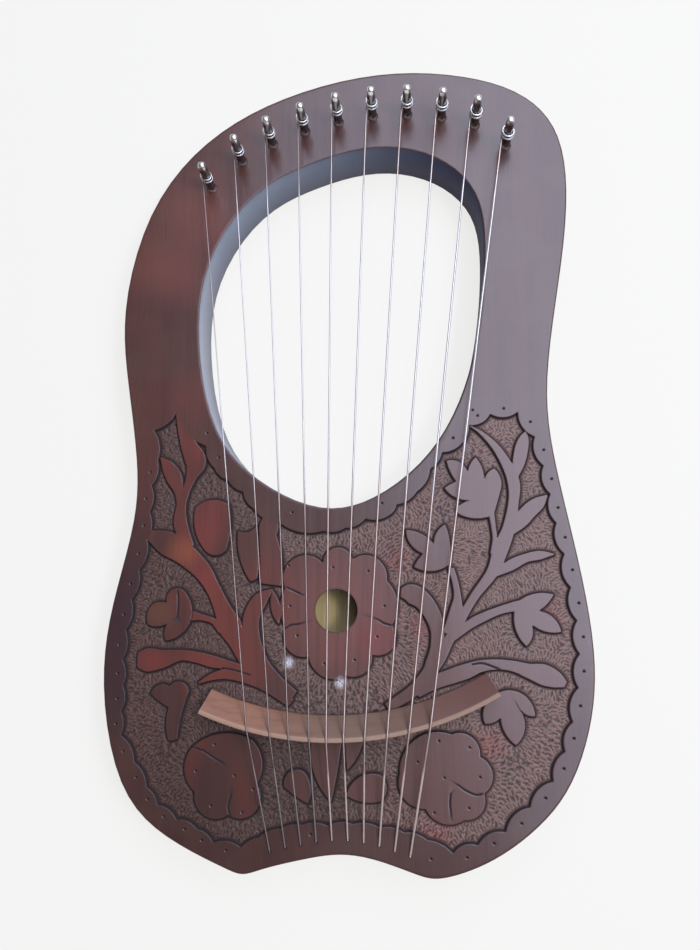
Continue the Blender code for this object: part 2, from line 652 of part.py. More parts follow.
def wire_path(pin, crest, tail, width):
    """The wire's middle line, from its ball end up through the tail, over the crest to its coil."""
    down = (tail - crest) / np.linalg.norm(tail - crest)
    over = BODY_DEPTH + SEAT_GAP + BRIDGE_HEIGHT + WIRE_GAP + width / 2
    ball_top = BALL_POCKET_DEPTH - SEAT_GAP - BALL_WIDTH / 2 + BALL_GROOVE_WIDTH / 2
    edge = TAIL_HOLE_WIDTH / 2
    points = [
        (*tail, ball_top + WIRE_GAP),
        (*tail, BODY_DEPTH - edge / 2),
        (*(tail - down * edge * 0.1), BODY_DEPTH + edge * 0.3),
        (*(tail - down * edge * 1.4), BODY_DEPTH + width / 2 + 2 * WIRE_GAP),
        (*(crest + down * BRIDGE_CREST / 2), over),
    ]
    away = crest - pin
    wound = (PIN_WIDTH / 2 + COIL_GAP + width / 2) / math.cos(math.pi / COIL_POINTS)
    start = math.atan2(away[1], away[0]) - math.acos(wound / np.linalg.norm(away))
    touch = pin + wound * np.array((math.cos(start), math.sin(start)))
    up = (touch - crest) / np.linalg.norm(touch - crest)
    points.append((*(crest + up * BRIDGE_CREST / 2), over))
    for i in range(COIL_TURNS * COIL_POINTS + 1):
        turn = start - 2 * math.pi * i / COIL_POINTS
        height = BODY_DEPTH + COIL_ABOVE_FACE + COIL_RISE * i / COIL_POINTS
        points.append((*(pin + wound * np.array((math.cos(turn), math.sin(turn)))), height))
    return points


def least_gap(points, width):
    """The least clear gap between two stretches of a wire that lie over half a turn apart."""
    run = np.array(points)
    steps = 8
    fine = [run[i] + (run[i + 1] - run[i]) * j / steps for i in range(len(run) - 1) for j in range(steps)]
    fine = np.array(fine)
    apart = steps * COIL_POINTS // 2
    gaps = [np.linalg.norm(fine[i + apart:] - fine[i], axis=1).min() for i in range(len(fine) - apart)]
    return min(gaps) - width


def make_wire(name, points, width, material):
    curve = bpy.data.curves.new(name, "CURVE")
    curve.dimensions = "3D"
    curve.bevel_depth = width / 2
    curve.bevel_resolution = 1
    curve.use_fill_caps = True
    spline = curve.splines.new("POLY")
    spline.points.add(len(points) - 1)
    for point, place in zip(spline.points, points):
        point.co = (*place, 1)
    add_object(name, curve, material)


def make_strings(pins, crests, tail, material):
    for k, (pin, crest, hole) in enumerate(zip(pins, crests, tail)):
        width = wire_width(k)
        points = wire_path(pin, crest, hole, width)
        gap = least_gap(points, width)
        print(f"string {k + 1}: least gap to itself {gap / MM:.2f} mm, wanted over {LEAST_WIRE_GAP / MM} mm")
        make_wire(f"string_{k + 1}", points, width, material)


def ball_mesh():
    """A grooved brass barrel with a hole through it, turned about the x axis."""
    half = BALL_LENGTH / 2
    section = [
        (-half, BALL_BORE / 2), (-half, BALL_WIDTH / 2), (-half + BALL_FLANGE, BALL_WIDTH / 2),
        (-half + BALL_FLANGE, BALL_GROOVE_WIDTH / 2), (half - BALL_FLANGE, BALL_GROOVE_WIDTH / 2),
        (half - BALL_FLANGE, BALL_WIDTH / 2), (half, BALL_WIDTH / 2), (half, BALL_BORE / 2),
    ]
    rings = []
    for k in range(BALL_SIDES):
        turn = -2 * math.pi * k / BALL_SIDES
        rings.append([(x, radius * math.cos(turn), radius * math.sin(turn)) for x, radius in section])
    data = skin("string_ball", rings, closed=True)
    shade_round(data)
    return data


def make_balls(tail, material):
    data = ball_mesh()
    data.materials.append(material)
    for k, place in enumerate(tail, start=1):
        ball = add_object(f"string_ball_{k}", data)
        ball.location = (*place, BALL_POCKET_DEPTH - SEAT_GAP - BALL_WIDTH / 2)


def main():
    clear_scene()
    rosewood = make_material("rosewood", ROSEWOOD)
    pale_wood = make_material("pale_wood", PALE_WOOD)
    bridge_wood = make_material("bridge_wood", BRIDGE_WOOD)
    steel = make_material("steel", STEEL)
    brass = make_material("brass", BRASS)
    outline = sized_loop(OUTLINE, BODY_WIDTH, BODY_LENGTH)
    window = sized_loop(WINDOW, WINDOW_WIDTH, WINDOW_LENGTH, WINDOW_MIDDLE)
    pins = pin_places(outline)
    tail = tail_places(outline)
    make_body(outline, window, pins, tail, rosewood)
    make_back_plate(outline, window, pale_wood)
    make_brace(outline, window, pale_wood)
    make_bridge(outline, bridge_wood)
    make_pins(pins, steel)
    make_strings(pins, crest_places(outline), tail, steel)
    make_balls(tail, brass)


main()
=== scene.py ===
"""A ten-string lyre harp with a carved rosewood body, lying on its back on a pale floor.

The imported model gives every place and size. Sections follow the harp as it is put together:
the room and camera, the carved body, the plate and brace behind it, the bridge, the tuning
pins, the strings, and their ball ends. Lengths are in metres unless a name ends in _MM.
"""

import math

import bmesh
import bpy
import numpy as np
from mathutils import Matrix, Vector
from mathutils.geometry import delaunay_2d_cdt
from mathutils.kdtree import KDTree


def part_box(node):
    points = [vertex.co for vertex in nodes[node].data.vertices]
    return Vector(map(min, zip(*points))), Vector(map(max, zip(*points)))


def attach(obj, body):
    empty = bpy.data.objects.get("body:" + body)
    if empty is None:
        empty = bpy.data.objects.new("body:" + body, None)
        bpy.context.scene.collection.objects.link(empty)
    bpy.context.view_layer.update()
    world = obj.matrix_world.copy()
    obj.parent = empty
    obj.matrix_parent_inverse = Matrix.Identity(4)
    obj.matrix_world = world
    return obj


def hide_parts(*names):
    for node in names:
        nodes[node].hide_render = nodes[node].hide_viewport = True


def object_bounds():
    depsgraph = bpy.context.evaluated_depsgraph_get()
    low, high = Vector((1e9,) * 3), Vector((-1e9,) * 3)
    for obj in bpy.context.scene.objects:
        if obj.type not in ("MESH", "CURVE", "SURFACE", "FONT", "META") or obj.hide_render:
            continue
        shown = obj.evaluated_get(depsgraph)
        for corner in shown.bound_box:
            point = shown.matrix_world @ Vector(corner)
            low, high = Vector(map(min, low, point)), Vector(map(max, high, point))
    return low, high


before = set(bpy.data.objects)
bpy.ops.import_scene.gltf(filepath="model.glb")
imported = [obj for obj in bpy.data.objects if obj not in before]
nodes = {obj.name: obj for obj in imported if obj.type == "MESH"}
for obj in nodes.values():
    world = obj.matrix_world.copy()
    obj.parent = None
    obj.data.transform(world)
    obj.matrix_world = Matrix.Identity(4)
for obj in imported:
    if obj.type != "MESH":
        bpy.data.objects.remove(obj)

cad_box = [list(corner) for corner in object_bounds()]
MM = 0.001


# The room: a pale floor, a window-like soft light high on the right, a smaller lamp at the
# right that draws the shadows, and an even grey sky.
# The camera stands over the bowl and leans a little towards the yoke, as the photographer did.
CAMERA_PLACE = Vector((0.0350, -0.0911, 0.4595))
CAMERA_TARGET = Vector((0.0032, -0.0183, 0.0295))
CAMERA_LENS = 30.3
SENSOR_WIDTH = 36
FLOOR_HALF = 4.0
FLOOR_DROP = 0.0004
FLOOR_SHOWN = 0.85
FLOOR_GLOW = (0.93, 0.925, 0.91)
FLOOR_COLOUR = (0.8, 0.79, 0.76)
WINDOW_PLACE = Vector((0.465, 0.34, 1.25))
WINDOW_TARGET = Vector((0, 0, 0.03))
WINDOW_SIZE = (1.05, 2.05)
WINDOW_POWER = 28.5
WINDOW_TURN = math.radians(17)
WINDOW_COLOUR = (0.72, 0.785, 0.985)
LAMP_PLACE = Vector((0.62, -0.1, 1.2))
LAMP_SIZE = 0.2
LAMP_POWER = 6
LAMP_COLOUR = (1.0, 0.98, 0.93)
SKY = (0.15, 0.15, 0.15)


class Link:
    """One output of a node, on which sums can be written."""

    def __init__(self, paint, socket):
        self.paint = paint
        self.socket = socket

    def __add__(self, other):
        return self.paint.sum("ADD", self, other)

    def __sub__(self, other):
        return self.paint.sum("SUBTRACT", self, other)

    def __rsub__(self, other):
        return self.paint.sum("SUBTRACT", other, self)

    def __mul__(self, other):
        return self.paint.sum("MULTIPLY", self, other)

    __radd__ = __add__
    __rmul__ = __mul__


class Paint:
    """A material's node tree, filled by one way of adding nodes."""

    def __init__(self, name):
        self.material = bpy.data.materials.new(name)
        self.material.use_nodes = True
        self.tree = self.material.node_tree
        self.tree.nodes.clear()

    def node(self, kind, settings=None, inputs=None, output=0):
        """Add a node: its settings first, then the values or links of its sockets."""
        made = self.tree.nodes.new(kind)
        for name, value in (settings or {}).items():
            setattr(made, name, value)
        for name, value in (inputs or {}).items():
            if isinstance(value, Link):
                self.tree.links.new(value.socket, made.inputs[name])
            else:
                made.inputs[name].default_value = value
        return Link(self, made.outputs[output])

    def sum(self, operation, first, second):
        return self.node("ShaderNodeMath", {"operation": operation}, {0: first, 1: second})

    def between(self, value, low, high):
        """0 at the low value, 1 at the high one, and smooth in between."""
        settings = {"interpolation_type": "SMOOTHSTEP"}
        return self.node("ShaderNodeMapRange", settings, {"Value": value, "From Min": low, "From Max": high})

    def mix(self, share, first, second):
        """From the first colour to the second, by a share from 0 to 1."""
        inputs = {0: share, 6: first if isinstance(first, Link) else (*first, 1),
                  7: second if isinstance(second, Link) else (*second, 1)}
        return self.node("ShaderNodeMix", {"data_type": "RGBA"}, inputs, output=2)

    def stretched(self, scale):
        """Places on the object, multiplied by a factor along each axis."""
        place = self.node("ShaderNodeTexCoord", output="Object")
        return self.node("ShaderNodeVectorMath", {"operation": "MULTIPLY"}, {0: place, 1: scale})

    def axis(self, name):
        """The place on the object along one axis, in metres."""
        return self.node("ShaderNodeSeparateXYZ", {}, {0: self.stretched((1, 1, 1))}, output=name)

    def near(self, x_mm, y_mm, reach_mm):
        """1 at a place on the face, and 0 from a reach away."""
        inputs = {0: self.stretched((1, 1, 0)), 1: (x_mm * MM, y_mm * MM, 0)}
        away = self.node("ShaderNodeVectorMath", {"operation": "DISTANCE"}, inputs, output="Value")
        return 1 - self.between(away, 0, reach_mm * MM)

    def noise(self, vector, scale, detail=3.0, roughness=0.55):
        inputs = {"Vector": vector, "Scale": scale, "Detail": detail, "Roughness": roughness}
        return self.node("ShaderNodeTexNoise", {"noise_dimensions": "3D"}, inputs)

    def share(self, name):
        """A value that the mesh carries at each point."""
        return self.node("ShaderNodeAttribute", {"attribute_name": name}, output="Fac")

    def bump(self, height, strength, distance):
        inputs = {"Height": height, "Strength": strength, "Distance": distance}
        return self.node("ShaderNodeBump", {}, inputs)

    def finish(self, shader):
        end = self.tree.nodes.new("ShaderNodeOutputMaterial")
        self.tree.links.new(shader.socket, end.inputs["Surface"])
        return self.material


def add_piece(name, data, material):
    thing = bpy.data.objects.new(name, data)
    bpy.context.scene.collection.objects.link(thing)
    data.materials.clear()
    data.materials.append(material)
    return thing


def looking(place, target):
    """Where something stands and how it turns, to look at a target with its sides level."""
    back = (place - target).normalized()
    right = Vector((0, 1, 0)).cross(back).normalized()
    return Matrix.Translation(place) @ Matrix((right, back.cross(right), back)).transposed().to_4x4()


camera_data = bpy.data.cameras.new("camera")
camera_data.lens = CAMERA_LENS
camera_data.sensor_width = SENSOR_WIDTH
camera = bpy.data.objects.new("camera", camera_data)
bpy.context.scene.collection.objects.link(camera)
camera.matrix_world = looking(CAMERA_PLACE, CAMERA_TARGET)
bpy.context.scene.camera = camera
bpy.context.scene.view_settings.view_transform = "Standard"

window_light = bpy.data.lights.new("window_light", "AREA")
window_light.shape = "RECTANGLE"
window_light.size, window_light.size_y = WINDOW_SIZE
window_light.energy = WINDOW_POWER
window_light.color = WINDOW_COLOUR
window = bpy.data.objects.new("window_light", window_light)
bpy.context.scene.collection.objects.link(window)
window.matrix_world = looking(WINDOW_PLACE, WINDOW_TARGET) @ Matrix.Rotation(WINDOW_TURN, 4, "Z")

lamp_light = bpy.data.lights.new("lamp_light", "AREA")
lamp_light.size = LAMP_SIZE
lamp_light.energy = LAMP_POWER
lamp_light.color = LAMP_COLOUR
lamp = bpy.data.objects.new("lamp_light", lamp_light)
bpy.context.scene.collection.objects.link(lamp)
lamp.matrix_world = looking(LAMP_PLACE, WINDOW_TARGET)
lamp.visible_glossy = False

world = bpy.data.worlds.new("sky")
world.use_nodes = True
world.node_tree.nodes["Background"].inputs["Color"].default_value = (*SKY, 1)
bpy.context.scene.world = world

floor_paint = Paint("floor")
seen = floor_paint.node("ShaderNodeLightPath", output="Is Camera Ray")
mirrored = floor_paint.node("ShaderNodeLightPath", output="Is Glossy Ray")
through = floor_paint.node("ShaderNodeLightPath", output="Is Transmission Ray")
floor_look = floor_paint.node("ShaderNodeBsdfDiffuse", {}, {"Color": (*FLOOR_COLOUR, 1)})
floor_glow = floor_paint.node("ShaderNodeEmission", {}, {"Color": (*FLOOR_GLOW, 1)})
shown = (seen + mirrored + through) * FLOOR_SHOWN
floor_shader = floor_paint.node("ShaderNodeMixShader", {}, {0: shown, 1: floor_look, 2: floor_glow})
floor_mesh = bmesh.new()
bmesh.ops.create_grid(floor_mesh, x_segments=1, y_segments=1, size=FLOOR_HALF)
floor_data = bpy.data.meshes.new("floor")
floor_mesh.to_mesh(floor_data)
floor_mesh.free()
floor = add_piece("floor", floor_data, floor_paint.finish(floor_shader))
floor.location.z = cad_box[0][2] - FLOOR_DROP


# The body: one block of rosewood. Its yoke and arms are planed and oiled. The bowl's face is
# carved: a border with a scalloped inner edge, leaves, stems and flowers stand at the face's
# level, and the ground between them is cut back with short gouge strokes.
FACE_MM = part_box("body")[1].z / MM
EASE_MM = 1.0
EASE_STEPS = 5
OUTLINE_GAP_MM = 0.6
FINE_GAP_MM = 0.2
ARC_STEPS = 12
BEND_STEPS = 10

# How deep the work is cut: a slope worn on the raised edge, a wall down to the stop cut, and
# the ground that rises from there to its own level.
EDGE_DROP_MM = 0.1
EDGE_RUN_MM = 0.4
FLAT_RUN_MM = 0.85
WALL_RUN_MM = 0.28
STOP_CUT_MM = 1.85
CARVED_MM = 1.3
GROUND_RUN_MM = 1.6
CREVICE_RUN_MM = 1.5
FOOT_ROWS_MM = (WALL_RUN_MM, 0.75)

# The gouge strokes of the ground, in bands that run away from each edge. Their valleys follow
# each other along the edge, every band is shifted by half a stroke's width, and no two strokes
# start quite level.
STROKE_GAP_MM = 0.62
STROKE_WAVE = (1.0, 0.05)
STROKE_SHARES = (1.0, 0.8, 1.0, 0.8, 0.3)
STROKE_DEEP_MM = 0.45
STROKE_SPREAD = (0.6, 1.2)
STROKE_SWAY_MM = 0.06
LEFT_SWAY_MM = 0.2
FIRST_ROW_MM = 1.2
ROW_GAP_MM = 0.68
STROKE_BANDS = 4
STROKE_STAGGER = 5
LEAST_GAP_MM = 0.3
FILL_GAP_MM = 0.7
DOT_RINGS_MM = ((0.45, 0.5), (0.8, 0.0), (1.25, 0.0))
DOT_DEEP_MM = 0.75
DOT_SIDES = 8
SLIT_DEEP_MM = 0.3
SLIT_HALF_MM = 0.7
SLIT_ROWS_MM = (0.35, 0.7, 1.1)
SLIT_END_SHARE = 0.3
CUT_SHADED_MM = 0.04
BORDER_DOT_MM = 2.6

# The holes are drawn in at the face: a pin's where the wood grips the thread, and a wire's
# where the wire has pressed into its edge. Each line: the hole's width, and its width there.
HOLES_AT_FACE_MM = ((5.7, 5.12), (2.6, 1.6))

# Where the lobes of the border meet, clockwise from the top of its right side, and how far the
# lobes of each stretch swell inward, as a share of their length.
BORDER_RIGHT = (
    (68.5, 8.5), (80, 14.5), (95, 15.5), (103.5, 1.5), (107.5, -14.5), (110.5, -30), (113, -45.5),
    (116.5, -62), (119, -79.5), (121.5, -96.5), (122, -113.5), (120.5, -130.5), (117, -147.5),
    (112.5, -162), (106, -176.5), (94, -189), (81.5, -201), (67.5, -207.5),
)
BORDER_TAIL = (
    (55, -211.5), (42.5, -205.5), (30.5, -202), (18.5, -200), (4.5, -198.5), (-8.5, -199.5),
    (-21.5, -199.5), (-32.5, -201.5), (-44, -206),
)
BORDER_LEFT = (
    (-53, -211), (-67.5, -209), (-76, -202.5), (-87, -198), (-97.5, -191), (-103.5, -182.5),
    (-110.5, -170), (-118.5, -156.5), (-119, -144.5), (-118.5, -131), (-119.5, -117.5), (-118.5, -102),
    (-116, -85.5), (-112.5, -69.5), (-108.5, -53), (-108, -37.5), (-107.5, -23), (-104.5, -8.5),
)
BORDER_TOP = (
    (-107.5, 8.5), (-95, 18.5), (-77.5, -1), (-72.5, -13.5), (-64.5, -20.5), (-56, -27), (-50.5, -36),
    (-34.5, -45), (-11.5, -49), (0.5, -47.5), (11.5, -42.5), (24, -41), (28.5, -35), (39.5, -28),
    (47, -15.5), (53.5, -6.5), (64.5, -1.5),
)
BORDER_SWELLS = ((BORDER_RIGHT, 0.17), (BORDER_TAIL, 0.1), (BORDER_LEFT, 0.13), (BORDER_TOP, 0.12))
DOTTED_STRETCHES = (BORDER_RIGHT, BORDER_LEFT)
OTHER_BORDER_DOTS = (
    (-77, 6.5), (-70, -7.5), (-28.5, -38.5), (20.5, -34), (59.5, 1.5), (70.5, 17), (-17, -204), (44, -214.5),
    (62, -213.5),
)

# Stems and bent leaves: points along the middle, each with the width there.
RIBBONS = {
    "right_stem": (
        (22.5, -141.5, 5.5), (35.5, -133, 6.5), (43, -125, 7), (49.5, -115.5, 8), (55.5, -106, 5.5),
        (61, -97, 5), (69, -84, 5), (78.5, -71.5, 6.5), (83.5, -59, 8.5), (88, -48, 7), (91, -34, 6),
        (91.5, -24, 7), (88.5, -14.5, 6), (82.5, -4, 4.5), (75, 4, 2.5), (69, 8, 0.8)),
    "right_bud_stem": ((79, -39.5, 3.5), (80, -47.5, 3), (80.5, -54, 3), (79.5, -62, 4)),
    "middle_bud_stem": ((57, -69, 3.5), (59, -76.5, 3.7), (60, -84, 4.3), (59, -92, 7), (55, -104, 7)),
    "small_flower_stem": (
        (57, -106.5, 2.5), (66, -98.7, 5), (74, -94.5, 5), (82, -91.3, 4.5), (91, -89, 5.5), (97, -88.5, 6.5)),
    "top_leaf": ((92, -21.5, 3), (94.5, -12.5, 7), (96.5, -4, 7.5), (98, 1.5, 5), (98.5, 4.5, 0.6)),
    "second_leaf": ((88.5, -52, 1.5), (94, -45, 7.5), (99, -39, 8.5), (104.5, -34.5, 7), (109, -30.5, 1)),
    "third_leaf": ((78.5, -74, 1.5), (88, -68, 6), (96.5, -64, 5), (104, -62.5, 5), (111.5, -62, 0.8)),
    "inner_leaf": (
        (30, -82, 5), (35.5, -82.5, 10.5), (41.5, -86, 10), (46.5, -93, 9), (49, -101.5, 7.5), (48.5, -111, 7),
        (45, -119, 5.5), (42, -124, 2)),
    "long_leaf": (
        (38, -134.5, 4), (47, -128.5, 7), (56.5, -125, 8), (64, -122.5, 8), (71, -120, 6.5), (80, -119, 5.5),
        (88.5, -120, 6), (96, -122.3, 8), (103, -124, 11), (109.5, -126.5, 9), (114.5, -129, 3.5)),
    "left_top_leaf": (
        (-95, 18, 0.6), (-91.5, 9, 5), (-87, -1, 9.5), (-83, -10, 12), (-85.5, -19, 6), (-88.5, -28, 4.5),
        (-90.5, -36, 6), (-90, -46, 8), (-84.5, -57.5, 5)),
    "left_side_leaf": ((-103, -7, 1), (-98.5, -12.5, 7.5), (-94.5, -19.5, 9), (-92.3, -27, 4.5), (-92.5, -35, 0.6)),
    "left_stem": (
        (-108.5, -50, 5), (-98.5, -54.5, 13), (-87.5, -61, 12), (-77.5, -70, 10), (-71, -80, 8),
        (-65.5, -91, 9.5), (-61.5, -99.5, 13), (-57.5, -108, 9), (-53.5, -117, 6), (-48, -126, 5.5)),
    "centre_stem": (
        (-38.5, -80, 1), (-45, -85.5, 8), (-49.5, -93.5, 9), (-50, -101.5, 9), (-48, -111.5, 9.5),
        (-43.5, -121.5, 10), (-36, -130, 10), (-27, -136.5, 8)),
    "left_flower_stem": ((-82.3, -94.2, 5.5), (-77, -95, 3.5), (-70.5, -97, 3.5), (-65.5, -102, 5)),
    "left_long_leaf": (
        (-111.5, -117.5, 8), (-106, -117.5, 12.5), (-98, -117, 10), (-88, -115, 6), (-79, -116, 6),
        (-70, -118.3, 6.5), (-61, -120, 4.5), (-52, -123, 5), (-44.5, -125.5, 3)),
    "left_low_leaf": (
        (-78, -129.5, 1), (-70, -126, 4), (-61.5, -124.5, 6), (-51.5, -125.7, 8), (-43, -128.5, 8.5),
        (-35, -134, 6.5), (-28, -139.5, 5)),
}

# Flowers and short leaves, clockwise: their corners, each with how far the side that follows
# it swells outward as a share of its length.
BLOOMS = {
    "right_bud": (
        (76, -21, 0.14), (81.5, -15.5, 0.15), (84.5, -28, 0), (80.5, -41, 0.11), (62.5, -41, 0.35),
        (62.5, -35, 0.05), (67.5, -33, 0.14), (54, -26, 0.03), (60.5, -22.5, 0.06), (55.5, -11, 0.22),
        (67, -17, 0.09), (71.5, -9, 0.09)),
    "middle_bud": (
        (33, -48.5, 0.12), (48, -56, 0.16), (54.5, -45.5, 0.08), (56, -67.5, 0.16), (37, -68.5, 0.05),
        (42, -61.5, 0.16)),
    "small_flower": (
        (91, -87, 0.13), (110.5, -83, 0.07), (102.5, -91.5, 0.17), (113.5, -102.5, 0.12), (98.5, -99, 0.16),
        (95, -110, 0.17)),
    "low_bud": (
        (77, -135, 0.33), (98.5, -145, 0.15), (91, -142, 0.2), (88, -159.5, 0.12), (80.5, -146, 0.12),
        (72.5, -149, 0.2)),
    "right_rose": (
        (28.5, -174, 0.27), (55.5, -154, 0.29), (70, -165, 0.3), (71.5, -183, 0.28), (61, -196, 0.23),
        (41.5, -191, 0.27)),
    "centre_rose": (
        (-32, -79.5, 0.44), (-11.5, -66, 0.46), (4.5, -64, 0.33), (23, -75.5, 0.18), (25.5, -99, 0.37),
        (15, -114.5, 0.27), (1.5, -125.5, 0.26), (-19, -115.5, 0.32), (-31.5, -100.5, 0.13)),
    "left_bud": ((-82.5, -35.5, 0.19), (-63.5, -34, 0.07), (-64.5, -59, 0.23), (-76, -59.5, 0.12)),
    "centre_petal": ((-58.5, -48.5, -0.2), (-48, -45, 0.04), (-47, -74, 0.1), (-51, -76, 0.09)),
    "centre_flower": (
        (-46, -77, 0), (-46.5, -50, 0.18), (-41, -38.5, 0.22), (-37, -51, 0.07), (-34, -78.5, 0)),
    "centre_leaf": ((-38.5, -80.5, 0.14), (-35, -99, 0.15)),
    "left_flower": (
        (-96.5, -87, 0.45), (-86, -82, 0.31), (-96.5, -107.5, 0.13), (-96, -98.5, 0.12), (-106.5, -99, 0.19),
        (-103, -87, 0.05)),
    "tulip": (
        (-103.5, -135, 0.26), (-93.5, -131, 0.34), (-82.5, -134, -0.04), (-88, -158, 0.1), (-93, -159, 0.08),
        (-93.5, -142, 0.05)),
    "left_rose": (
        (-80, -162, 0.16), (-48, -158, 0.18), (-45, -180, 0.42), (-60, -195.5, 0.34), (-78, -184.5, 0.22)),
    "tail_leaf_1": ((-17, -156.5, 0), (-1, -156.5, 0.02), (-6.5, -188.5, 0.13)),
    "tail_leaf_2": ((0, -156.5, 0), (10.5, -156.5, 0.08), (1.5, -173, 0)),
    "tail_leaf_3": ((1, -185, 0.22), (19, -174.5, 0.22), (19.5, -187.5, 0.11)),
    "tail_leaf_4": ((-31, -181.5, 0.38), (-20, -174, 0.15), (-18.5, -189.5, 0.03)),
}

# Dark cuts on the raised work: between crossing leaves, and the lines on the petals.
SLITS = (
    ((58.5, -179), (62, -181.5), (67, -183.5), (70.5, -183)), ((54.5, -183), (54, -188), (54.5, -193.5)),
    ((-90.5, -80.5), (-90, -86.5), (-90, -94)), ((-79.5, -162), (-73.5, -164), (-68.5, -167), (-63.5, -169.5)),
    ((-58.5, -185.5), (-60, -191.5), (-58.5, -197)), ((-31, -79), (-28, -80.5), (-23.5, -82.5)),
    ((-31, -100.5), (-28.5, -99), (-24.5, -98.5)), ((25, -99), (21, -98), (18, -96)),
    ((67, -119), (72, -118.5), (77, -120), (81, -121.5)), ((-64.5, -121.5), (-58, -122.7), (-50, -125)),
    ((-46.8, -50), (-46.5, -58), (-46, -67), (-46.6, -75)),
)
FLOWER_DOTS = (
    (-30, -67.5), (-6, -68.5), (13, -70.5), (-29, -89), (21.5, -89), (-25, -104.5), (17.5, -105),
    (-10.5, -119), (5.5, -117), (49, -157.5), (64.5, -160.5), (38, -168), (51.5, -175.5), (69.5, -175),
    (63.5, -190), (46, -192.5), (-77.5, -174), (-68, -160.5), (-57, -176), (-69, -191), (-52.5, -194),
    (-47, -182.5),
)


def curve_through(points, steps=BEND_STEPS):
    """A smooth open line through points of any dimension (Catmull-Rom)."""
    points = np.array(points, dtype=float)
    points = np.vstack((2 * points[0] - points[1], points, 2 * points[-1] - points[-2]))
    line = []
    for before, here, after, beyond in zip(points, points[1:], points[2:], points[3:]):
        for t in np.arange(steps) / steps:
            line.append(0.5 * (2 * here + (after - before) * t
                               + (2 * before - 5 * here + 4 * after - beyond) * t ** 2
                               + (3 * here - before - 3 * after + beyond) * t ** 3))
    line.append(points[-2])
    return np.array(line)


def normals_of(line, closed=False):
    """The unit vector to the right of the way along a line, at each of its points."""
    along = np.roll(line, -1, axis=0) - np.roll(line, 1, axis=0)
    if not closed:
        along[0] = line[1] - line[0]
        along[-1] = line[-1] - line[-2]
    side = np.column_stack((along[:, 1], -along[:, 0]))
    return side / np.linalg.norm(side, axis=1)[:, None]


def evenly(loop, gap):
    """A closed loop's points, spread evenly."""
    closed = np.vstack((loop, loop[:1]))
    reach = np.concatenate(([0], np.cumsum(np.linalg.norm(np.diff(closed, axis=0), axis=1))))
    stops = np.linspace(0, reach[-1], max(8, round(reach[-1] / gap)), endpoint=False)
    return np.column_stack([np.interp(stops, reach, closed[:, axis]) for axis in (0, 1)])


def anticlockwise(loop):
    turned = np.roll(loop, -1, axis=0)
    area = (loop[:, 0] * turned[:, 1] - turned[:, 0] * loop[:, 1]).sum()
    return loop if area > 0 else loop[::-1]


def inside(loop, places):
    """Which of the places lie inside a closed loop."""
    within = np.zeros(len(places), dtype=bool)
    low, high = loop.min(axis=0), loop.max(axis=0)
    near = np.flatnonzero(((places >= low) & (places <= high)).all(axis=1))
    x, y = places[near, 0], places[near, 1]
    odd = np.zeros(len(near), dtype=bool)
    for (x0, y0), (x1, y1) in zip(loop, np.roll(loop, -1, axis=0)):
        if y0 != y1:
            odd ^= ((y0 > y) != (y1 > y)) & (x < (x1 - x0) * (y - y0) / (y1 - y0) + x0)
    within[near] = odd
    return within


def inside_any(loops, places):
    within = np.zeros(len(places), dtype=bool)
    for loop in loops:
        within |= inside(loop, places)
    return within


def smooth_step(value):
    value = np.clip(value, 0, 1)
    return value * value * (3 - 2 * value)


def ribbon(points):
    """A stem or a bent leaf, from middle points that carry widths."""
    middle = curve_through(points)
    half = normals_of(middle[:, :2]) * np.maximum(middle[:, 2:], 0.3) / 2
    return np.vstack((middle[:, :2] + half, (middle[:, :2] - half)[::-1]))


def arcs(corners):
    """A closed outline whose sides are arcs that swell to the left of the way round it."""
    loop = []
    for (x, y, swell), (next_x, next_y, _) in zip(corners, corners[1:] + corners[:1]):
        way = np.array((next_x - x, next_y - y))
        out = np.array((-way[1], way[0]))
        half_angle = 2 * math.atan(2 * swell)
        for t in np.linspace(-1, 1, ARC_STEPS, endpoint=False):
            if swell:
                along = math.sin(t * half_angle) / math.sin(half_angle)
                rise = (math.cos(t * half_angle) - math.cos(half_angle)) / math.sin(half_angle)
            else:
                along, rise = t, 0
            loop.append(np.array((x, y)) + way * (1 + along) / 2 + out * rise / 2)
    return np.array(loop)


def lobe_dots(notches):
    """A place behind the middle of each lobe of a stretch, out on the border."""
    dots = []
    for (x, y), (next_x, next_y) in zip(notches, notches[1:]):
        out = np.array((y - next_y, next_x - x)) / math.dist((x, y), (next_x, next_y))
        dots.append(np.array((x + next_x, y + next_y)) / 2 + out * BORDER_DOT_MM)
    return dots


def boundary_loops(mesh):
    """The closed chains of vertices round a mesh's open edges."""
    open_edges = {edge for edge in mesh.edges if edge.is_boundary}
    loops = []
    while open_edges:
        edge = open_edges.pop()
        first, here = edge.verts
        loop = [first]
        while here != first:
            loop.append(here)
            edge = next(other for other in here.link_edges if other in open_edges)
            open_edges.discard(edge)
            here = edge.other_vert(here)
        loops.append(loop)
    return loops


def flat_loop(loop):
    return np.array([vert.co.xy for vert in loop]) / MM


def join_rings(mesh, low, high):
    for i in range(len(low)):
        j = (i + 1) % len(low)
        mesh.faces.new((low[i], low[j], high[j], high[i]))


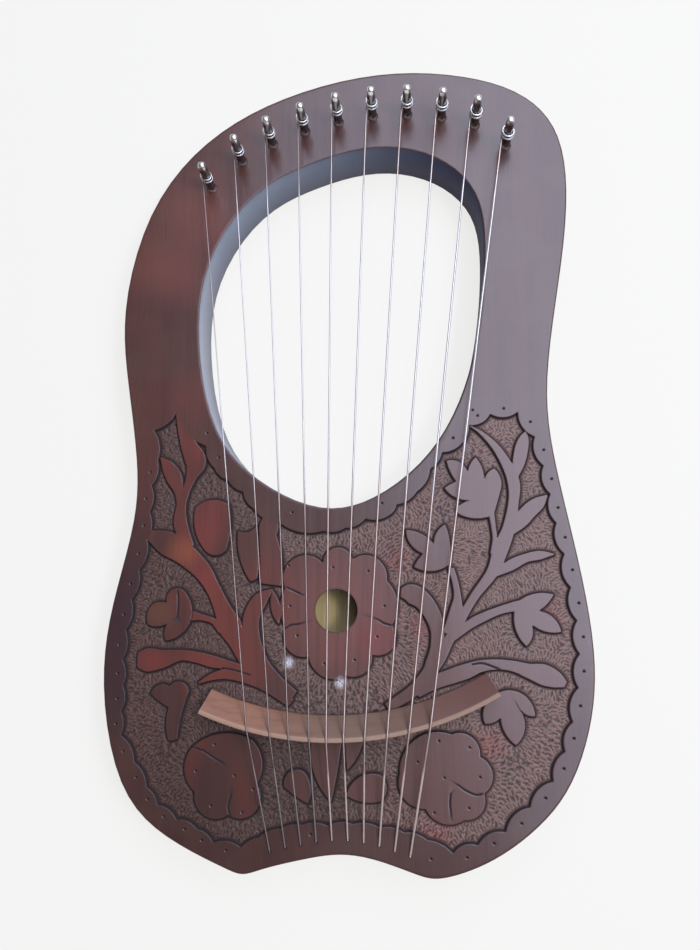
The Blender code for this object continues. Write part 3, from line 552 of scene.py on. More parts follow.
def round_edge(mesh, loop, outer, wall_layer):
    """Round the edge above a loop of the block's wall, and return the ring where the face starts."""
    flat = flat_loop(loop)
    if (flat != anticlockwise(flat)).any():
        loop, flat = loop[::-1], flat[::-1]
    step = -EASE_MM if outer else EASE_MM
    inner = flat + step * normals_of(flat, closed=True)
    ring = loop
    for k in range(1, EASE_STEPS + 1):
        angle = math.pi / 2 * k / EASE_STEPS
        level = FACE_MM - EASE_MM + EASE_MM * math.sin(angle)
        places = inner + (flat - inner) * math.cos(angle)
        upper = [mesh.verts.new((x * MM, y * MM, level * MM)) for x, y in places]
        for vert in upper:
            vert[wall_layer] = 0 if outer else math.cos(angle)
        join_rings(mesh, ring, upper) if outer else join_rings(mesh, upper, ring)
        ring = upper
    return ring


class Carving:
    """The face's points and chained edges, and the stroke or cut that belongs to each."""

    def __init__(self):
        self.places = []
        self.edges = []
        self.stroke = {}
        self.cut = {}
        self.taken = {}

    def chain(self, loop):
        start = len(self.places)
        self.places.extend(loop)
        self.edges += [(start + i, start + (i + 1) % len(loop)) for i in range(len(loop))]

    def cell(self, place):
        return int(place[0] // LEAST_GAP_MM), int(place[1] // LEAST_GAP_MM)

    def is_free(self, place, gap=LEAST_GAP_MM):
        reach = math.ceil(gap / LEAST_GAP_MM)
        column, row = self.cell(place)
        for i in range(column - reach, column + reach + 1):
            for j in range(row - reach, row + reach + 1):
                for other in self.taken.get((i, j), ()):
                    if math.dist(other, place) < gap:
                        return False
        return True

    def spot(self, place, stroke=0, cut=0):
        """Add a loose point: a share of a gouge stroke's depth, or a cut in the raised work."""
        self.taken.setdefault(self.cell(place), []).append((place[0], place[1]))
        self.stroke[len(self.places)] = stroke
        self.cut[len(self.places)] = cut
        self.places.append(place)


random = np.random.default_rng(7)
border = evenly(arcs([(x, y, -swell) for notches, swell in BORDER_SWELLS for x, y in notches]), OUTLINE_GAP_MM)
motifs = [ribbon(points) for points in RIBBONS.values()] + [arcs(corners) for corners in BLOOMS.values()]
motifs = [anticlockwise(evenly(loop, OUTLINE_GAP_MM)) for loop in motifs]


def tree_of(places):
    tree = KDTree(len(places))
    for i, (x, y) in enumerate(places):
        tree.insert((x, y, 0), i)
    tree.balance()
    return tree


def is_ground(places):
    return inside(border, places) & ~inside_any(motifs, places)


# The edges where raised work meets the ground.
edge_places = []
for loop in [border] + motifs:
    fine = evenly(loop, FINE_GAP_MM)
    kept = is_ground(fine + normals_of(fine, closed=True) * FINE_GAP_MM / 2)
    edge_places.append(fine[kept])
edge_tree = tree_of(np.vstack(edge_places))


def edge_distance(place):
    return edge_tree.find((place[0], place[1], 0))[2]


body_mesh = bmesh.new()
body_mesh.from_mesh(nodes["body"].data)
crevice_shade_layer = body_mesh.verts.layers.float.new("crevice")
valley_layer = body_mesh.verts.layers.float.new("valley")
ground_layer = body_mesh.verts.layers.float.new("ground")
motif_layer = body_mesh.verts.layers.float.new("motif")
wall_layer = body_mesh.verts.layers.float.new("wall")
bmesh.ops.remove_doubles(body_mesh, verts=body_mesh.verts, dist=0.001 * MM)
lowest_work = (FACE_MM - STOP_CUT_MM) * MM
worked = [face for face in body_mesh.faces if min(vert.co.z for vert in face.verts) > lowest_work]
bmesh.ops.delete(body_mesh, geom=worked, context="FACES")

carving = Carving()
ring_verts = {}
hole_loops = []
loops = sorted(boundary_loops(body_mesh), key=lambda loop: -np.ptp(flat_loop(loop)[:, 1]))
window_line = {(round(x, 2), round(y, 2)) for x, y in flat_loop(loops[1])}
for vert in body_mesh.verts:
    vert[wall_layer] = float((round(vert.co.x / MM, 2), round(vert.co.y / MM, 2)) in window_line)
for number, loop in enumerate(loops):
    for hole_width, face_width in HOLES_AT_FACE_MM:
        if abs(np.ptp(flat_loop(loop)[:, 0]) - hole_width) < 0.1:
            middle = sum((vert.co for vert in loop), Vector()) / len(loop)
            for vert in loop:
                vert.co = middle + (vert.co - middle) * face_width / hole_width
    ring = round_edge(body_mesh, loop, number == 0, wall_layer) if number < 2 else loop
    flat = flat_loop(ring)
    ring_verts.update(enumerate(ring, start=len(carving.places)))
    carving.chain(flat)
    hole_loops.append(flat)
    away = normals_of(anticlockwise(flat), closed=True) * (-FLAT_RUN_MM if number == 0 else FLAT_RUN_MM)
    for place in anticlockwise(flat) + away:
        carving.spot(place)

for loop in [border] + motifs:
    carving.chain(loop)
for reach in (EDGE_RUN_MM, FLAT_RUN_MM):
    for loop in [border] + motifs:
        for place in loop - normals_of(loop, closed=True) * reach:
            if carving.is_free(place) and edge_distance(place) > reach * 0.9:
                carving.spot(place)
for reach in FOOT_ROWS_MM:
    for loop in [border] + motifs:
        along = evenly(loop, STROKE_GAP_MM)
        row_places = along + normals_of(along, closed=True) * reach
        for place in row_places[is_ground(row_places)]:
            if edge_distance(place) > reach * 0.93 and carving.is_free(place, LEAST_GAP_MM * 0.8):
                carving.spot(place)

strokes_long = len(STROKE_SHARES)
waves = len(STROKE_WAVE)
for loop in [border] + motifs:
    along = evenly(loop, STROKE_GAP_MM)
    ways = normals_of(along, closed=True)
    depths = random.uniform(*STROKE_SPREAD, (len(along) // waves + STROKE_BANDS, STROKE_BANDS + 1))
    starts = random.integers(0, STROKE_STAGGER, len(along) // waves + 2)
    for i in np.flatnonzero(is_ground(along + ways * WALL_RUN_MM)):
        for row in range(STROKE_BANDS * strokes_long):
            reach = FIRST_ROW_MM + ROW_GAP_MM * row
            sway = STROKE_SWAY_MM if along[i, 0] > 0 else LEFT_SWAY_MM
            place = along[i] + ways[i] * reach + random.uniform(-sway, sway, 2)
            if edge_distance(place) < reach * 0.95 - 0.05 - sway:
                break
            band, step = divmod(row + starts[i // waves], strokes_long)
            stroke, phase = divmod(i + band * waves // 2, waves)
            if carving.is_free(place):
                carving.spot(place, STROKE_WAVE[phase] * STROKE_SHARES[step] * depths[stroke, band])

low, high = border.min(axis=0), border.max(axis=0)
columns, rows = np.meshgrid(np.arange(low[0], high[0], FILL_GAP_MM), np.arange(low[1], high[1], FILL_GAP_MM))
fill = np.column_stack((columns.ravel(), rows.ravel())) + random.uniform(-0.15, 0.15, (columns.size, 2))
for place in fill[is_ground(fill)]:
    if carving.is_free(place, FILL_GAP_MM * 0.75) and edge_distance(place) > FIRST_ROW_MM:
        carving.spot(place, random.uniform(0, 1))

border_dots = [dot for stretch in DOTTED_STRETCHES for dot in lobe_dots(stretch)]
for x, y in list(FLOWER_DOTS + OTHER_BORDER_DOTS) + border_dots:
    carving.spot(np.array((x, y)), cut=DOT_DEEP_MM)
    for radius, depth in DOT_RINGS_MM:
        for k in range(DOT_SIDES):
            angle = 2 * math.pi * k / DOT_SIDES
            carving.spot(np.array((x + radius * math.cos(angle), y + radius * math.sin(angle))), cut=depth)
slit_places, slit_depths = [], []
for points in SLITS:
    line = curve_through(points)
    ways = normals_of(line)
    for place, way, share in zip(line, ways, np.linspace(0, 1, len(line))):
        slit_places.append(place)
        slit_depths.append(SLIT_DEEP_MM * max(SLIT_END_SHARE, math.sqrt(4 * share * (1 - share))))
        for reach in (0, *SLIT_ROWS_MM):
            carving.spot(place + way * reach)
            carving.spot(place - way * reach)
slit_tree = tree_of(slit_places)

drawn = delaunay_2d_cdt([Vector(place) for place in carving.places], carving.edges, [], 0, 1e-4, True)
flat_verts = np.array([tuple(vert) for vert in drawn[0]])
triangles = np.array([face for face in drawn[2]])
centres = flat_verts[triangles].mean(axis=1)
triangles = triangles[inside(hole_loops[0], centres) & ~inside_any(hole_loops[1:], centres)]

distance = np.array([edge_distance(place) for place in flat_verts])
ground = is_ground(flat_verts) & (distance > WALL_RUN_MM / 2)
motif = inside_any(motifs, flat_verts) & inside(border, flat_verts)
stroke = np.zeros(len(flat_verts))
cut = np.zeros(len(flat_verts))
ring_of = {}
for k, sources in enumerate(drawn[3]):
    for source in sources:
        if source in ring_verts:
            ring_of[k] = ring_verts[source]
        stroke[k] = max(stroke[k], carving.stroke.get(source, 0))
        cut[k] = max(cut[k], carving.cut.get(source, 0))
for k, place in enumerate(flat_verts):
    i, away = slit_tree.find((*place, 0))[1:]
    cut[k] = max(cut[k], slit_depths[i] * (1 - smooth_step(away / SLIT_HALF_MM)))
wall = smooth_step(distance / WALL_RUN_MM)
rise = smooth_step((distance - WALL_RUN_MM) / (GROUND_RUN_MM - WALL_RUN_MM))
drop_ground = EDGE_DROP_MM + (STOP_CUT_MM - EDGE_DROP_MM) * wall - (STOP_CUT_MM - CARVED_MM) * rise
drop_raised = EDGE_DROP_MM * (1 - smooth_step(distance / EDGE_RUN_MM)) + cut
drop = np.where(ground, drop_ground + stroke * STROKE_DEEP_MM, drop_raised)
# Painted shade: the crevice share darkens wall feet, the worn edges above them, dots and slits.
under_edge = 1 - smooth_step((distance - WALL_RUN_MM) / CREVICE_RUN_MM)
on_edge = 1 - smooth_step(distance / EDGE_RUN_MM)
crevice = np.where(ground, under_edge, np.maximum(on_edge, np.clip(cut / CUT_SHADED_MM, 0, 1)))

face_verts = {}
for k in np.unique(triangles):
    if k in ring_of:
        face_verts[k] = ring_of[k]
        continue
    x, y = flat_verts[k]
    vert = body_mesh.verts.new((x * MM, y * MM, (FACE_MM - drop[k]) * MM))
    vert[crevice_shade_layer] = crevice[k]
    vert[valley_layer] = min(1, stroke[k])
    vert[ground_layer] = float(ground[k])
    vert[motif_layer] = float(motif[k])
    face_verts[k] = vert
for triangle in triangles:
    body_mesh.faces.new([face_verts[k] for k in triangle])
body_data = bpy.data.meshes.new("carved_body")
body_mesh.normal_update()
body_mesh.to_mesh(body_data)
body_mesh.free()
body_data.shade_smooth()
body_data.set_sharp_from_angle(angle=math.radians(38))
for polygon in body_data.polygons:
    if polygon.normal.z < -0.999:
        polygon.use_smooth = False

# Rosewood, oiled dark. The raised work has a dull polish and the cut ground is drier and paler
# on its ridges, paler again on the right as painted sheen; its gouge valleys and the foot of every
# wall carry painted shade. The window's wall carries a painted reflection: bluish grey, lighter
# low down and on the left, dark on the right.
OILED_WOOD = (0.074, 0.029, 0.024)
DARK_WOOD = (0.057, 0.022, 0.019)
WARM_WOOD = (0.17, 0.035, 0.023)
ROSE_WOOD = (0.16, 0.056, 0.045)
PETAL_WOOD = (0.13, 0.052, 0.04)
DEEP_WOOD = (0.036, 0.016, 0.02)
OLIVE_WOOD = (0.08, 0.04, 0.03)
RIDGE_LEFT = (0.105, 0.053, 0.04)
RIDGE_RIGHT_AND_SHEEN = (0.185, 0.107, 0.085)
RIDGE_WARM = (0.225, 0.112, 0.086)
VALLEY_SHADE = (0.032, 0.016, 0.014)
CREVICE_SHADE = (0.01, 0.006, 0.008)
# The next three are a painted reflection on the window's wall: lit low, lit left, shaded right.
WALL_LOW_LIT = (0.42, 0.44, 0.49)
WALL_LEFT_LIT = (0.26, 0.3, 0.37)
WALL_RIGHT_SHADE = (0.03, 0.036, 0.088)
CHALK = (0.62, 0.6, 0.64)
SHADED_WOOD = (0.026, 0.009, 0.007)

# Where the wood itself is redder or browner than the rest: a colour, its middle on the face
# and how far it spreads. The first list is on the raised work, the second on the cut ground,
# whose last entry is painted shade over the ground near the tail.
FLAME_RED = (0.3, 0.075, 0.034)
CLEAR_RED = (0.19, 0.036, 0.03)
ARM_RED = (0.13, 0.036, 0.029)
SOFT_RED = (0.175, 0.054, 0.041)
LEAF_BROWN = (0.13, 0.055, 0.028)
RUST_RED = (0.26, 0.075, 0.06)
# Painted shade over the cut ground near the tail.
TAIL_GROUND_SHADE = (0.05, 0.024, 0.013)
RAISED_PATCHES = (
    (FLAME_RED, -87, -60, 15), (CLEAR_RED, -78, -74, 17), (CLEAR_RED, -76, -48, 17), (CLEAR_RED, -104, -118, 16),
    (LEAF_BROWN, -101, -92, 14), (CLEAR_RED, 16, -106, 18), (ARM_RED, -80, 128, 28), (ARM_RED, -90, 98, 28),
    (ARM_RED, -86, 28, 24), (SOFT_RED, -90, 142, 38), (SOFT_RED, -106, 106, 30), (SOFT_RED, -7, -113, 11),
)
GROUND_PATCHES = (
    (RUST_RED, 106, -92, 14), (RUST_RED, 75, -159, 13), (RUST_RED, 47, -204, 13), (RUST_RED, 41, -100, 12),
    (RUST_RED, 29, -64, 12), (TAIL_GROUND_SHADE, -8, -182, 60),
)

# Where the polish has worn: the middle on the face, how far it spreads and how much is gone.
WORN_PATCHES = ((-5, 172, 45, 0.16), (47, 184, 38, 0.3), (110, -158, 62, 0.22), (-103, 46, 34, 0.1))

wood = Paint("rosewood")
broad = wood.noise(wood.stretched((1, 0.05, 1)), 75, 2, 0.5)
streaks = wood.noise(wood.stretched((1, 0.03, 1)), 260, 3, 0.6)
pores = wood.noise(wood.stretched((1, 0.03, 1)), 1400, 2, 0.5)
patches = wood.noise(wood.stretched((1, 0.6, 1)), 22, 2, 0.5)
clouds = wood.noise(wood.stretched((1, 1, 1)), 31, 2, 0.5)
speck = wood.noise(wood.stretched((1, 1, 1)), 1100, 2, 0.6)
crevice_shades, valleys = wood.share("crevice"), wood.share("valley")
grounds, walls, motif_parts = wood.share("ground"), wood.share("wall"), wood.share("motif")
to_left = wood.between(wood.axis("X") * -1, 0.0, 0.08)
to_tail = wood.between(wood.axis("Y") * -1, 0.01, 0.09)
colour = wood.mix(wood.between(broad * 0.6 + streaks * 0.4, 0.3, 0.65), DARK_WOOD, OILED_WOOD)
colour = wood.mix((1 - to_left) * motif_parts * 0.5, colour, PETAL_WOOD)
colour = wood.mix(wood.near(-2, -92, 50) * motif_parts, colour, ROSE_WOOD)
colour = wood.mix(wood.between(clouds, 0.45, 0.62) * 0.5 * (1 - motif_parts), colour, OLIVE_WOOD)
warmth = wood.between(patches, 0.4, 0.62) * to_left
colour = wood.mix(warmth * (0.15 + motif_parts * 0.6), colour, WARM_WOOD)
for tint, x_mm, y_mm, reach_mm in RAISED_PATCHES:
    colour = wood.mix(wood.near(x_mm, y_mm, reach_mm) * 0.6, colour, tint)
left_border = wood.between(wood.axis("X") * -1, 0.088, 0.118) * to_tail * (1 - motif_parts)
left_border = left_border * wood.between(wood.axis("Y"), -0.175, -0.13)
colour = wood.mix(left_border * 0.75, colour, DEEP_WOOD)
colour = wood.mix(wood.between(pores, 0.6, 0.75) * 0.3, colour, DEEP_WOOD)
# The ridges are paler on the right than on the left, partly wood and partly painted sheen.
ridge = wood.mix(wood.between(patches, 0.45, 0.65) * 0.6, RIDGE_RIGHT_AND_SHEEN, RIDGE_WARM)
ridge = wood.mix(to_left, ridge, RIDGE_LEFT)
for tint, x_mm, y_mm, reach_mm in GROUND_PATCHES:
    ridge = wood.mix(wood.near(x_mm, y_mm, reach_mm) * 0.7, ridge, tint)
# Painted shade: dark specks over the ridges, and the gouge valleys darkened below.
ridge = wood.mix(wood.between(speck, 0.35, 0.7) * 0.4, ridge, VALLEY_SHADE)
dug = wood.mix(wood.between(valleys, 0.2, 0.7) * 0.85, ridge, VALLEY_SHADE)
colour = wood.mix(grounds, colour, dug)
# Painted shade over the lower left of the face.
colour = wood.mix(wood.near(-60, -190, 80) * 0.4, colour, SHADED_WOOD)
# Painted shade, near black, in the crevices.
colour = wood.mix(crevice_shades * 0.95, colour, CREVICE_SHADE)
for x_mm, y_mm, reach_mm in ((-2, -128.8, 4.5), (-29.7, -118.7, 4.2)):
    colour = wood.mix(wood.near(x_mm, y_mm, reach_mm) * wood.between(speck, 0.35, 0.5), colour, CHALK)
upright = wood.node("ShaderNodeNewGeometry", output="Normal")
upright = wood.node("ShaderNodeSeparateXYZ", {}, {0: upright}, output="Z")
upright = wood.node("ShaderNodeMath", {"operation": "ABSOLUTE"}, {0: upright})
# Painted reflection on the window's wall: bluish grey, lighter low down and on the left, dark on the right.
wall_reflection = wood.mix(wood.between(wood.axis("Y"), 0.055, 0.13), WALL_LOW_LIT, WALL_LEFT_LIT)
wall_reflection = wood.mix(wood.between(wood.axis("X"), -0.07, 0.075), wall_reflection, WALL_RIGHT_SHADE)
colour = wood.mix(walls * (1 - upright), colour, wall_reflection)
roughness = 0.3 + streaks * 0.08 + grounds * 0.15 + walls * 0.5 + crevice_shades * 0.4
gloss = (0.56 - to_left * 0.08 - grounds * 0.52 + patches * 0.1 - walls * 0.66) * (1 - crevice_shades)
for x_mm, y_mm, reach_mm, gone in WORN_PATCHES:
    gloss = gloss - wood.near(x_mm, y_mm, reach_mm) * gone * (1 - grounds)
relief = broad * 0.8 + streaks * 0.35 - pores * 0.3 + grounds * speck * 1.2
wood_shader = wood.node("ShaderNodeBsdfPrincipled", {}, {
    "Base Color": colour, "Roughness": roughness, "Coat Weight": gloss,
    "Coat Roughness": 0.2, "Normal": wood.bump(relief, 0.35, 0.0004)})
body = add_piece("carved_body", body_data, wood.finish(wood_shader))
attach(body, "root")
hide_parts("body")


# The back plate and the brace: plain pale wood, planed and glued behind the bowl. They are
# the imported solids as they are, with their own grain, and the plate shows in the sound hole.
PALE_WOOD = (0.53, 0.41, 0.19)
PALE_STREAK = (0.38, 0.28, 0.11)

pale = Paint("pale_wood")
pale_lines = pale.noise(pale.stretched((1, 0.04, 1)), 260, 4, 0.6)
pale_clouds = pale.noise(pale.stretched((1, 1, 1)), 30, 2, 0.5)
pale_colour = pale.mix(pale.between(pale_lines * 0.8 + pale_clouds * 0.3, 0.45, 0.75), PALE_WOOD, PALE_STREAK)
pale_shader = pale.node("ShaderNodeBsdfPrincipled", {}, {
    "Base Color": pale_colour, "Roughness": 0.62 + pale_lines * 0.1,
    "Normal": pale.bump(pale_lines, 0.25, 0.0003)})
pale_finish = pale.finish(pale_shader)
for name in ("back_plate", "brace"):
    nodes[name].data.materials.clear()
    nodes[name].data.materials.append(pale_finish)


# The bridge: a loose bow of lighter wood, sawn and sanded. It has one long ramp towards the
# yoke and a narrow crest on the tail's side, which the strings press into.
BRIDGE_BEND = 172 * MM
BRIDGE_LOW_X = -7 * MM
BRIDGE_REACHES = (-69 * MM, 91 * MM)
BRIDGE_FOOT = 12.5 * MM
BRIDGE_TOE = 2.2 * MM
BRIDGE_CREST = 1.8 * MM
BRIDGE_ROUND = 0.5 * MM
BRIDGE_STEPS = 160
CREST_PITCH = 10.4 * MM
CREST_ROW_MIDDLE = -2.5 * MM
CREST_OFFSETS = [offset * MM for offset in (0.2, 1.8, 1.1, 1.3, -0.4, -2, -1.7, -0.7, 0, 0.4)]
STRINGS = len(CREST_OFFSETS)
NOTCH_DEEP = 0.35 * MM
NOTCH_HALF = 0.8 * MM
BRIDGE_LEFT = (0.29, 0.137, 0.087)
BRIDGE_MIDDLE = (0.185, 0.116, 0.084)
BRIDGE_RIGHT = (0.15, 0.07, 0.058)
BRIDGE_STREAK = (0.12, 0.06, 0.045)
CREST_HIGHLIGHT = (0.42, 0.28, 0.2)

face_height = FACE_MM * MM
bridge_low, bridge_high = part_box("bridge")
bridge_top = bridge_high.z
tail_side = BRIDGE_BEND + BRIDGE_CREST / 2
bridge_middle = Vector((BRIDGE_LOW_X, bridge_low.y + tail_side))


def rounded(corners, radius, steps=3):
    """A closed section whose corners are turned round by a radius."""
    corners = np.array(corners)
    section = []
    for before, here, after in zip(np.roll(corners, 1, axis=0), corners, np.roll(corners, -1, axis=0)):
        back_way = (before - here) / np.linalg.norm(before - here)
        on_way = (after - here) / np.linalg.norm(after - here)
        for t in np.arange(steps + 1) / steps:
            section.append(here + radius * (back_way * (1 - t) ** 2 + on_way * t ** 2))
    return np.array(section)


def crest_places():
    """Where the strings cross the middle of the crest."""
    places = []
    for k, offset in enumerate(CREST_OFFSETS):
        x = CREST_ROW_MIDDLE + (k - (STRINGS - 1) / 2) * CREST_PITCH + offset
        drop = math.sqrt((BRIDGE_BEND - BRIDGE_CREST / 2) ** 2 - (x - bridge_middle.x) ** 2)
        places.append(Vector((x, bridge_middle.y - drop)))
    return places


crossings = crest_places()
bridge_foot = bridge_low.z
section = rounded([
    (tail_side - BRIDGE_FOOT, bridge_foot), (tail_side - BRIDGE_FOOT, bridge_foot + BRIDGE_TOE),
    (tail_side - BRIDGE_CREST, bridge_top), (tail_side, bridge_top), (tail_side, bridge_foot),
], BRIDGE_ROUND)
bridge_mesh = bmesh.new()
rings = []
for k in range(BRIDGE_STEPS + 1):
    reach = BRIDGE_REACHES[0] + (BRIDGE_REACHES[1] - BRIDGE_REACHES[0]) * k / BRIDGE_STEPS
    turn = reach / BRIDGE_BEND
    ring = []
    for radius, height in section:
        x, y = bridge_middle.x + math.sin(turn) * radius, bridge_middle.y - math.cos(turn) * radius
        if height > bridge_top - BRIDGE_ROUND:
            near = min(abs(x - place.x) for place in crossings)
            height -= NOTCH_DEEP * max(0, 1 - (near / NOTCH_HALF) ** 2)
        ring.append(bridge_mesh.verts.new((x, y, height)))
    rings.append(ring)
bridge_mesh.faces.new(rings[0][::-1])
bridge_mesh.faces.new(rings[-1])
for low_ring, high_ring in zip(rings, rings[1:]):
    join_rings(bridge_mesh, low_ring, high_ring)
bmesh.ops.recalc_face_normals(bridge_mesh, faces=bridge_mesh.faces)
bridge_data = bpy.data.meshes.new("bridge_bow")
bridge_mesh.to_mesh(bridge_data)
bridge_mesh.free()
bridge_data.shade_smooth()
bridge_data.set_sharp_from_angle(angle=math.radians(40))

sawn = Paint("bridge_wood")
sawn_lines = sawn.noise(sawn.stretched((0.06, 1, 1)), 420, 4, 0.6)
sawn_clouds = sawn.noise(sawn.stretched((1, 1, 1)), 35, 2, 0.5)
along_bow = sawn.axis("X")
sawn_colour = sawn.mix(sawn.between(along_bow, -0.05, 0.0), BRIDGE_LEFT, BRIDGE_MIDDLE)
sawn_colour = sawn.mix(sawn.between(along_bow, 0.01, 0.075), sawn_colour, BRIDGE_RIGHT)
sawn_colour = sawn.mix(sawn.between(sawn_lines * 0.7 + sawn_clouds * 0.4, 0.45, 0.8) * 0.5, sawn_colour, BRIDGE_STREAK)
# Painted highlight along the top of the crest.
on_crest = sawn.between(sawn.axis("Z"), bridge_top - 0.7 * MM, bridge_top - 0.3 * MM)
sawn_colour = sawn.mix(on_crest * 0.5, sawn_colour, CREST_HIGHLIGHT)
sawn_shader = sawn.node("ShaderNodeBsdfPrincipled", {}, {
    "Base Color": sawn_colour, "Roughness": 0.5 + sawn_lines * 0.15,
    "Normal": sawn.bump(sawn_lines, 0.3, 0.0003)})
bridge = add_piece("bridge_bow", bridge_data, sawn.finish(sawn_shader))
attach(bridge, "root")
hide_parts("bridge")


# The tuning pins: turned steel, plated bright. Each has a fine thread where it enters the
# wood, a smooth shaft for the wire, four flats for the key and a domed tip. The shaft's steel
# is painted dark as shade, and the tip and the thread above the wood are painted bright as
# highlights.
PIN_WIDTH = 5 * MM
PIN_THREAD = 0.12 * MM
PIN_THREAD_PITCH = 0.5 * MM
PIN_THREAD_TOP = 4.5 * MM
PIN_FLATS = 4.3 * MM
PIN_HEAD_TAPER = 0.12
PIN_FLATS_LONG = 7.5 * MM
PIN_SIDES = 32
PIN_DOME_STEPS = 6
PIN_TIP = 4.5 * MM
# The shaft's dark steel is painted shade; the bright steel is a painted highlight.
SHADED_SHAFT_STEEL = (0.3, 0.28, 0.28)
TIP_AND_THREAD_GLINT = (0.95, 0.93, 0.93)
STEEL_SHADE = (0.1, 0.09, 0.09)

steel = Paint("pin_steel")
steel_wear = steel.noise(steel.stretched((1, 1, 0.3)), 500, 3, 0.6)
pin_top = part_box("tuning_pin_1")[1].z
steel_colour = steel.mix(steel.between(steel_wear, 0.4, 0.7), SHADED_SHAFT_STEEL, STEEL_SHADE)
# Painted highlights on the tip and on the thread just above the wood.
painted_glints = (steel.between(steel.axis("Z"), pin_top - PIN_TIP, pin_top - PIN_TIP / 2)
                + 1 - steel.between(steel.axis("Z"), face_height + PIN_TIP / 3, face_height + PIN_TIP / 2))
steel_colour = steel.mix(painted_glints, steel_colour, TIP_AND_THREAD_GLINT)
steel_shader = steel.node("ShaderNodeBsdfPrincipled", {}, {
    "Base Color": steel_colour,
    "Metallic": 1.0, "Roughness": 0.22 + steel_wear * 0.14,
    "Normal": steel.bump(steel_wear, 0.08, 0.0001)})
steel_finish = steel.finish(steel_shader)


def pin_rings(bottom, top):
    """Heights, radii and shares of flatness up a pin, in metres above the ground of the frame."""
    half = PIN_WIDTH / 2
    rings = [(bottom, half * 0.6, 0), (bottom + 1.2 * MM, half - PIN_THREAD, 0)]
    height = bottom + 1.6 * MM
    while height < face_height + PIN_THREAD_TOP:
        rings += [(height, half - PIN_THREAD, 0), (height + PIN_THREAD_PITCH / 2, half, 0)]
        height += PIN_THREAD_PITCH
    flats = top - PIN_FLATS_LONG
    rings += [(height + 0.3 * MM, half - PIN_THREAD, 0), (flats, half - PIN_THREAD, 0), (flats + 0.5 * MM, half, 1)]
    dome = half * (1 - PIN_HEAD_TAPER)
    rise = 1.3 * MM
    for k in range(PIN_DOME_STEPS):
        angle = math.pi / 2 * k / PIN_DOME_STEPS
        rings.append((top - rise + rise * math.sin(angle), dome * math.cos(angle), 1 - k / PIN_DOME_STEPS))
    return rings


def pin_data(bottom, top):
    mesh = bmesh.new()
    rows = []
    for height, radius, flat in pin_rings(bottom, top):
        row = []
        for k in range(PIN_SIDES):
            angle = 2 * math.pi * k / PIN_SIDES
            reach = max(abs(math.cos(angle)), abs(math.sin(angle)))
            squared = min(1, PIN_FLATS / PIN_WIDTH / reach)
            size = radius * (1 + (squared - 1) * flat)
            row.append(mesh.verts.new((size * math.cos(angle), size * math.sin(angle), height)))
        rows.append(row)
    mesh.faces.new(rows[0][::-1])
    for low_row, high_row in zip(rows, rows[1:]):
        join_rings(mesh, low_row, high_row)
    tip = mesh.verts.new((0, 0, top))
    for k in range(PIN_SIDES):
        mesh.faces.new((rows[-1][k], rows[-1][(k + 1) % PIN_SIDES], tip))
    data = bpy.data.meshes.new("turned_pin")
    mesh.to_mesh(data)
    mesh.free()
    data.shade_smooth()
    data.set_sharp_from_angle(angle=math.radians(50))
    return data


pin_places = []
for k in range(1, STRINGS + 1):
    low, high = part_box(f"tuning_pin_{k}")
    middle = (low + high) / 2
    pin_places.append(Vector((middle.x, middle.y)))
    pin = add_piece(f"turned_pin_{k}", pin_data(low.z, high.z), steel_finish)
    pin.location = (middle.x, middle.y, 0)
    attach(pin, f"pin_{k}")
    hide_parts(f"tuning_pin_{k}")


# The strings: steel wire, plain and thin on the left, wound and thicker on the right. Each
# rises from its hole in the tail, crosses the crest and winds clockwise up its pin.
THIN_WIRE = 0.6 * MM
THICK_WIRE = 1.1 * MM
PLAIN_STRINGS = 4
COIL_TURNS = 2.3
COIL_POINTS = 30
COIL_RISE = 2.7 * MM
COIL_GAP = 0.15 * MM
COIL_ABOVE_FACE = 9.3 * MM
COIL_FULLER = 1.2
TAIL_HOLE_WIDTH = 2.6 * MM
WIRE_GAP = 0.1 * MM
PLAIN_WIRE = (0.42, 0.33, 0.31)
WOUND_WIRE = (0.72, 0.57, 0.51)
WIRE_SHADE = (0.34, 0.28, 0.25)
WIRE_METAL = 0.45
WINDOW_WIRE_LIGHT = (0.78, 0.74, 0.73)
TAIL_WIRE_SHADE = (0.26, 0.23, 0.22)
COIL_GLINT = (0.92, 0.9, 0.88)
WINDING_PITCH = 0.45 * MM


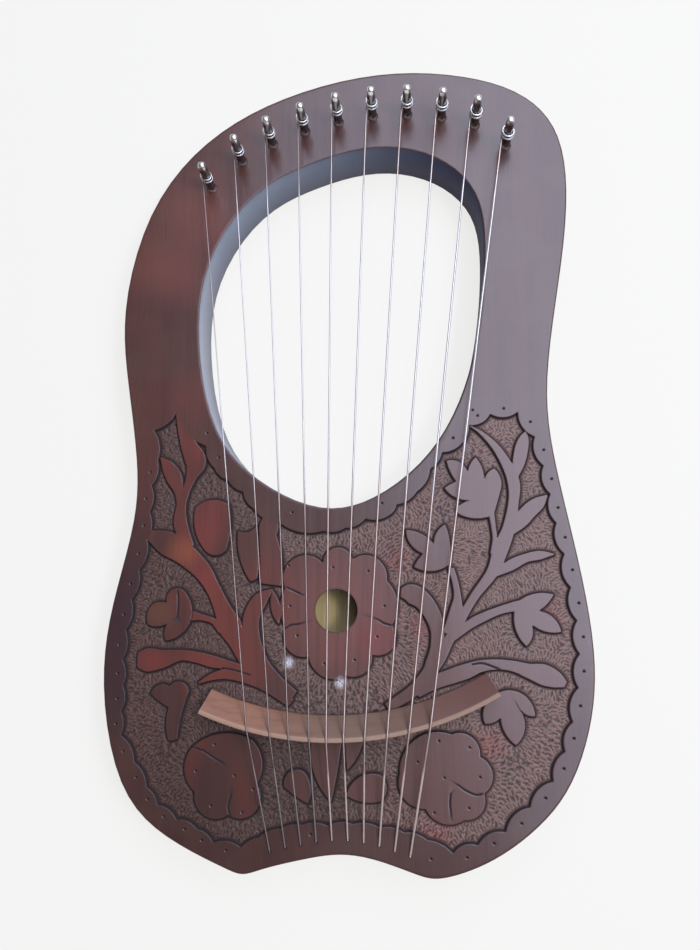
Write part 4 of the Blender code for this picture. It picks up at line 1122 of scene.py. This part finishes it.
def wire_finish(name, wire_colour, wound):
    """Steel with fine winding rings on the thick strings; painted shade near the tail, painted light over the window
    and coil.
    """
    wire = Paint(name)
    wear = wire.noise(wire.stretched((1, 0.2, 1)), 700, 2, 0.6)
    settings = {"wave_type": "BANDS", "bands_direction": "Y"}
    rings_look = wire.node("ShaderNodeTexWave", settings, {
        "Vector": wire.stretched((1, 1, 1)), "Scale": 0.314 / WINDING_PITCH, "Distortion": 0.0}, output="Fac")
    height = rings_look * 0.8 + wear * 0.2 if wound else wear
    coiled = wire.between(wire.axis("Z"), face_height + 8 * MM, face_height + 9 * MM)
    # Painted light on the strings where they cross the window.
    over_window = wire.between(wire.axis("Y"), -0.05, 0.0) * wire.between(wire.axis("Y") * -1, -0.16, -0.13)
    over_window = over_window * wire.between(wire.axis("X"), -0.078, -0.066)
    # Painted shade on the thin strings towards the tail.
    near_tail = wire.between(wire.axis("Y") * -1, 0.12, 0.2)
    colour = wire.mix(wear * 0.5, wire_colour, WIRE_SHADE)
    if not wound:
        colour = wire.mix(near_tail, colour, TAIL_WIRE_SHADE)
    colour = wire.mix(over_window, colour, WINDOW_WIRE_LIGHT)
    # Painted glint on the turns of the coil.
    turns = wire.between(wire.axis("Z"), face_height + COIL_ABOVE_FACE + THICK_WIRE / 2, face_height + 10.4 * MM)
    colour = wire.mix(turns * wire.between(wire.axis("Y"), 0.13, 0.14), colour, COIL_GLINT)
    shader = wire.node("ShaderNodeBsdfPrincipled", {}, {
        "Base Color": colour, "Metallic": WIRE_METAL + coiled * (1 - WIRE_METAL),
        "Roughness": 0.3 + wear * 0.15, "Normal": wire.bump(height, 0.25 if wound else 0.05, 0.0001)})
    return wire.finish(shader)


def wire_line(pin, crest, tail, tail_low, width):
    """The wire's middle line, from its ball end up through the tail, over the crest to its coil."""
    down = (tail - crest).normalized()
    over = bridge_top + WIRE_GAP + width / 2 - NOTCH_DEEP / 2
    edge = TAIL_HOLE_WIDTH / 2
    bend = [
        (*tail, tail_low), (*tail, face_height - edge), (*(tail - down * edge * 0.05), face_height),
        (*(tail - down * edge * 0.5), face_height + edge * 0.45),
        (*(tail - down * edge * 1.6), face_height + edge * 0.7),
    ]
    points = [tuple(point) for point in curve_through(bend, steps=4)]
    points.append((*(crest + down * BRIDGE_CREST / 2), over))
    away = crest - pin
    wound = PIN_WIDTH / 2 + COIL_GAP + width / 2
    start = math.atan2(away.y, away.x) - math.acos(wound / away.length)
    touch = pin + wound * Vector((math.cos(start), math.sin(start)))
    points.append((*(crest + (touch - crest).normalized() * BRIDGE_CREST / 2), over))
    for i in range(round(COIL_TURNS * COIL_POINTS) + 1):
        turn = start - 2 * math.pi * i / COIL_POINTS
        height = face_height + COIL_ABOVE_FACE + COIL_RISE * i / COIL_POINTS
        points.append((*(pin + wound * Vector((math.cos(turn), math.sin(turn)))), height))
    return points


plain_finish = wire_finish("plain_wire", PLAIN_WIRE, False)
wound_finish = wire_finish("wound_wire", WOUND_WIRE, True)
for k, (pin, crest) in enumerate(zip(pin_places, crossings), start=1):
    width = THIN_WIRE + (THICK_WIRE - THIN_WIRE) * (k - 1) / (STRINGS - 1)
    low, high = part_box(f"string_ball_{k}")
    tail = Vector(((low.x + high.x) / 2, (low.y + high.y) / 2))
    curve = bpy.data.curves.new(f"wire_{k}", "CURVE")
    curve.dimensions = "3D"
    curve.bevel_depth = width / 2
    curve.bevel_resolution = 3
    curve.use_fill_caps = True
    line = wire_line(pin, crest, tail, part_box(f"string_{k}")[0].z, width)
    spline = curve.splines.new("POLY")
    spline.points.add(len(line) - 1)
    for point, place in zip(spline.points, line):
        point.co = (*place, 1)
        point.radius = COIL_FULLER if place[2] > face_height + COIL_ABOVE_FACE else 1
    wire = add_piece(f"wire_{k}", curve, plain_finish if k <= PLAIN_STRINGS else wound_finish)
    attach(wire, "root")
    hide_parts(f"string_{k}")


# The ball ends: small grooved barrels of turned brass behind the tail, which hold the wires.
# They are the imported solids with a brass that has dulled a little.
BRASS = (0.72, 0.5, 0.2)
DULL_BRASS = (0.45, 0.28, 0.1)

brass = Paint("ball_brass")
tarnish = brass.noise(brass.stretched((1, 1, 1)), 600, 3, 0.6)
brass_shader = brass.node("ShaderNodeBsdfPrincipled", {}, {
    "Base Color": brass.mix(brass.between(tarnish, 0.4, 0.7), BRASS, DULL_BRASS), "Metallic": 1.0,
    "Roughness": 0.25 + tarnish * 0.2, "Normal": brass.bump(tarnish, 0.1, 0.0001)})
brass_finish = brass.finish(brass_shader)
for k in range(1, STRINGS + 1):
    nodes[f"string_ball_{k}"].data.materials.clear()
    nodes[f"string_ball_{k}"].data.materials.append(brass_finish)
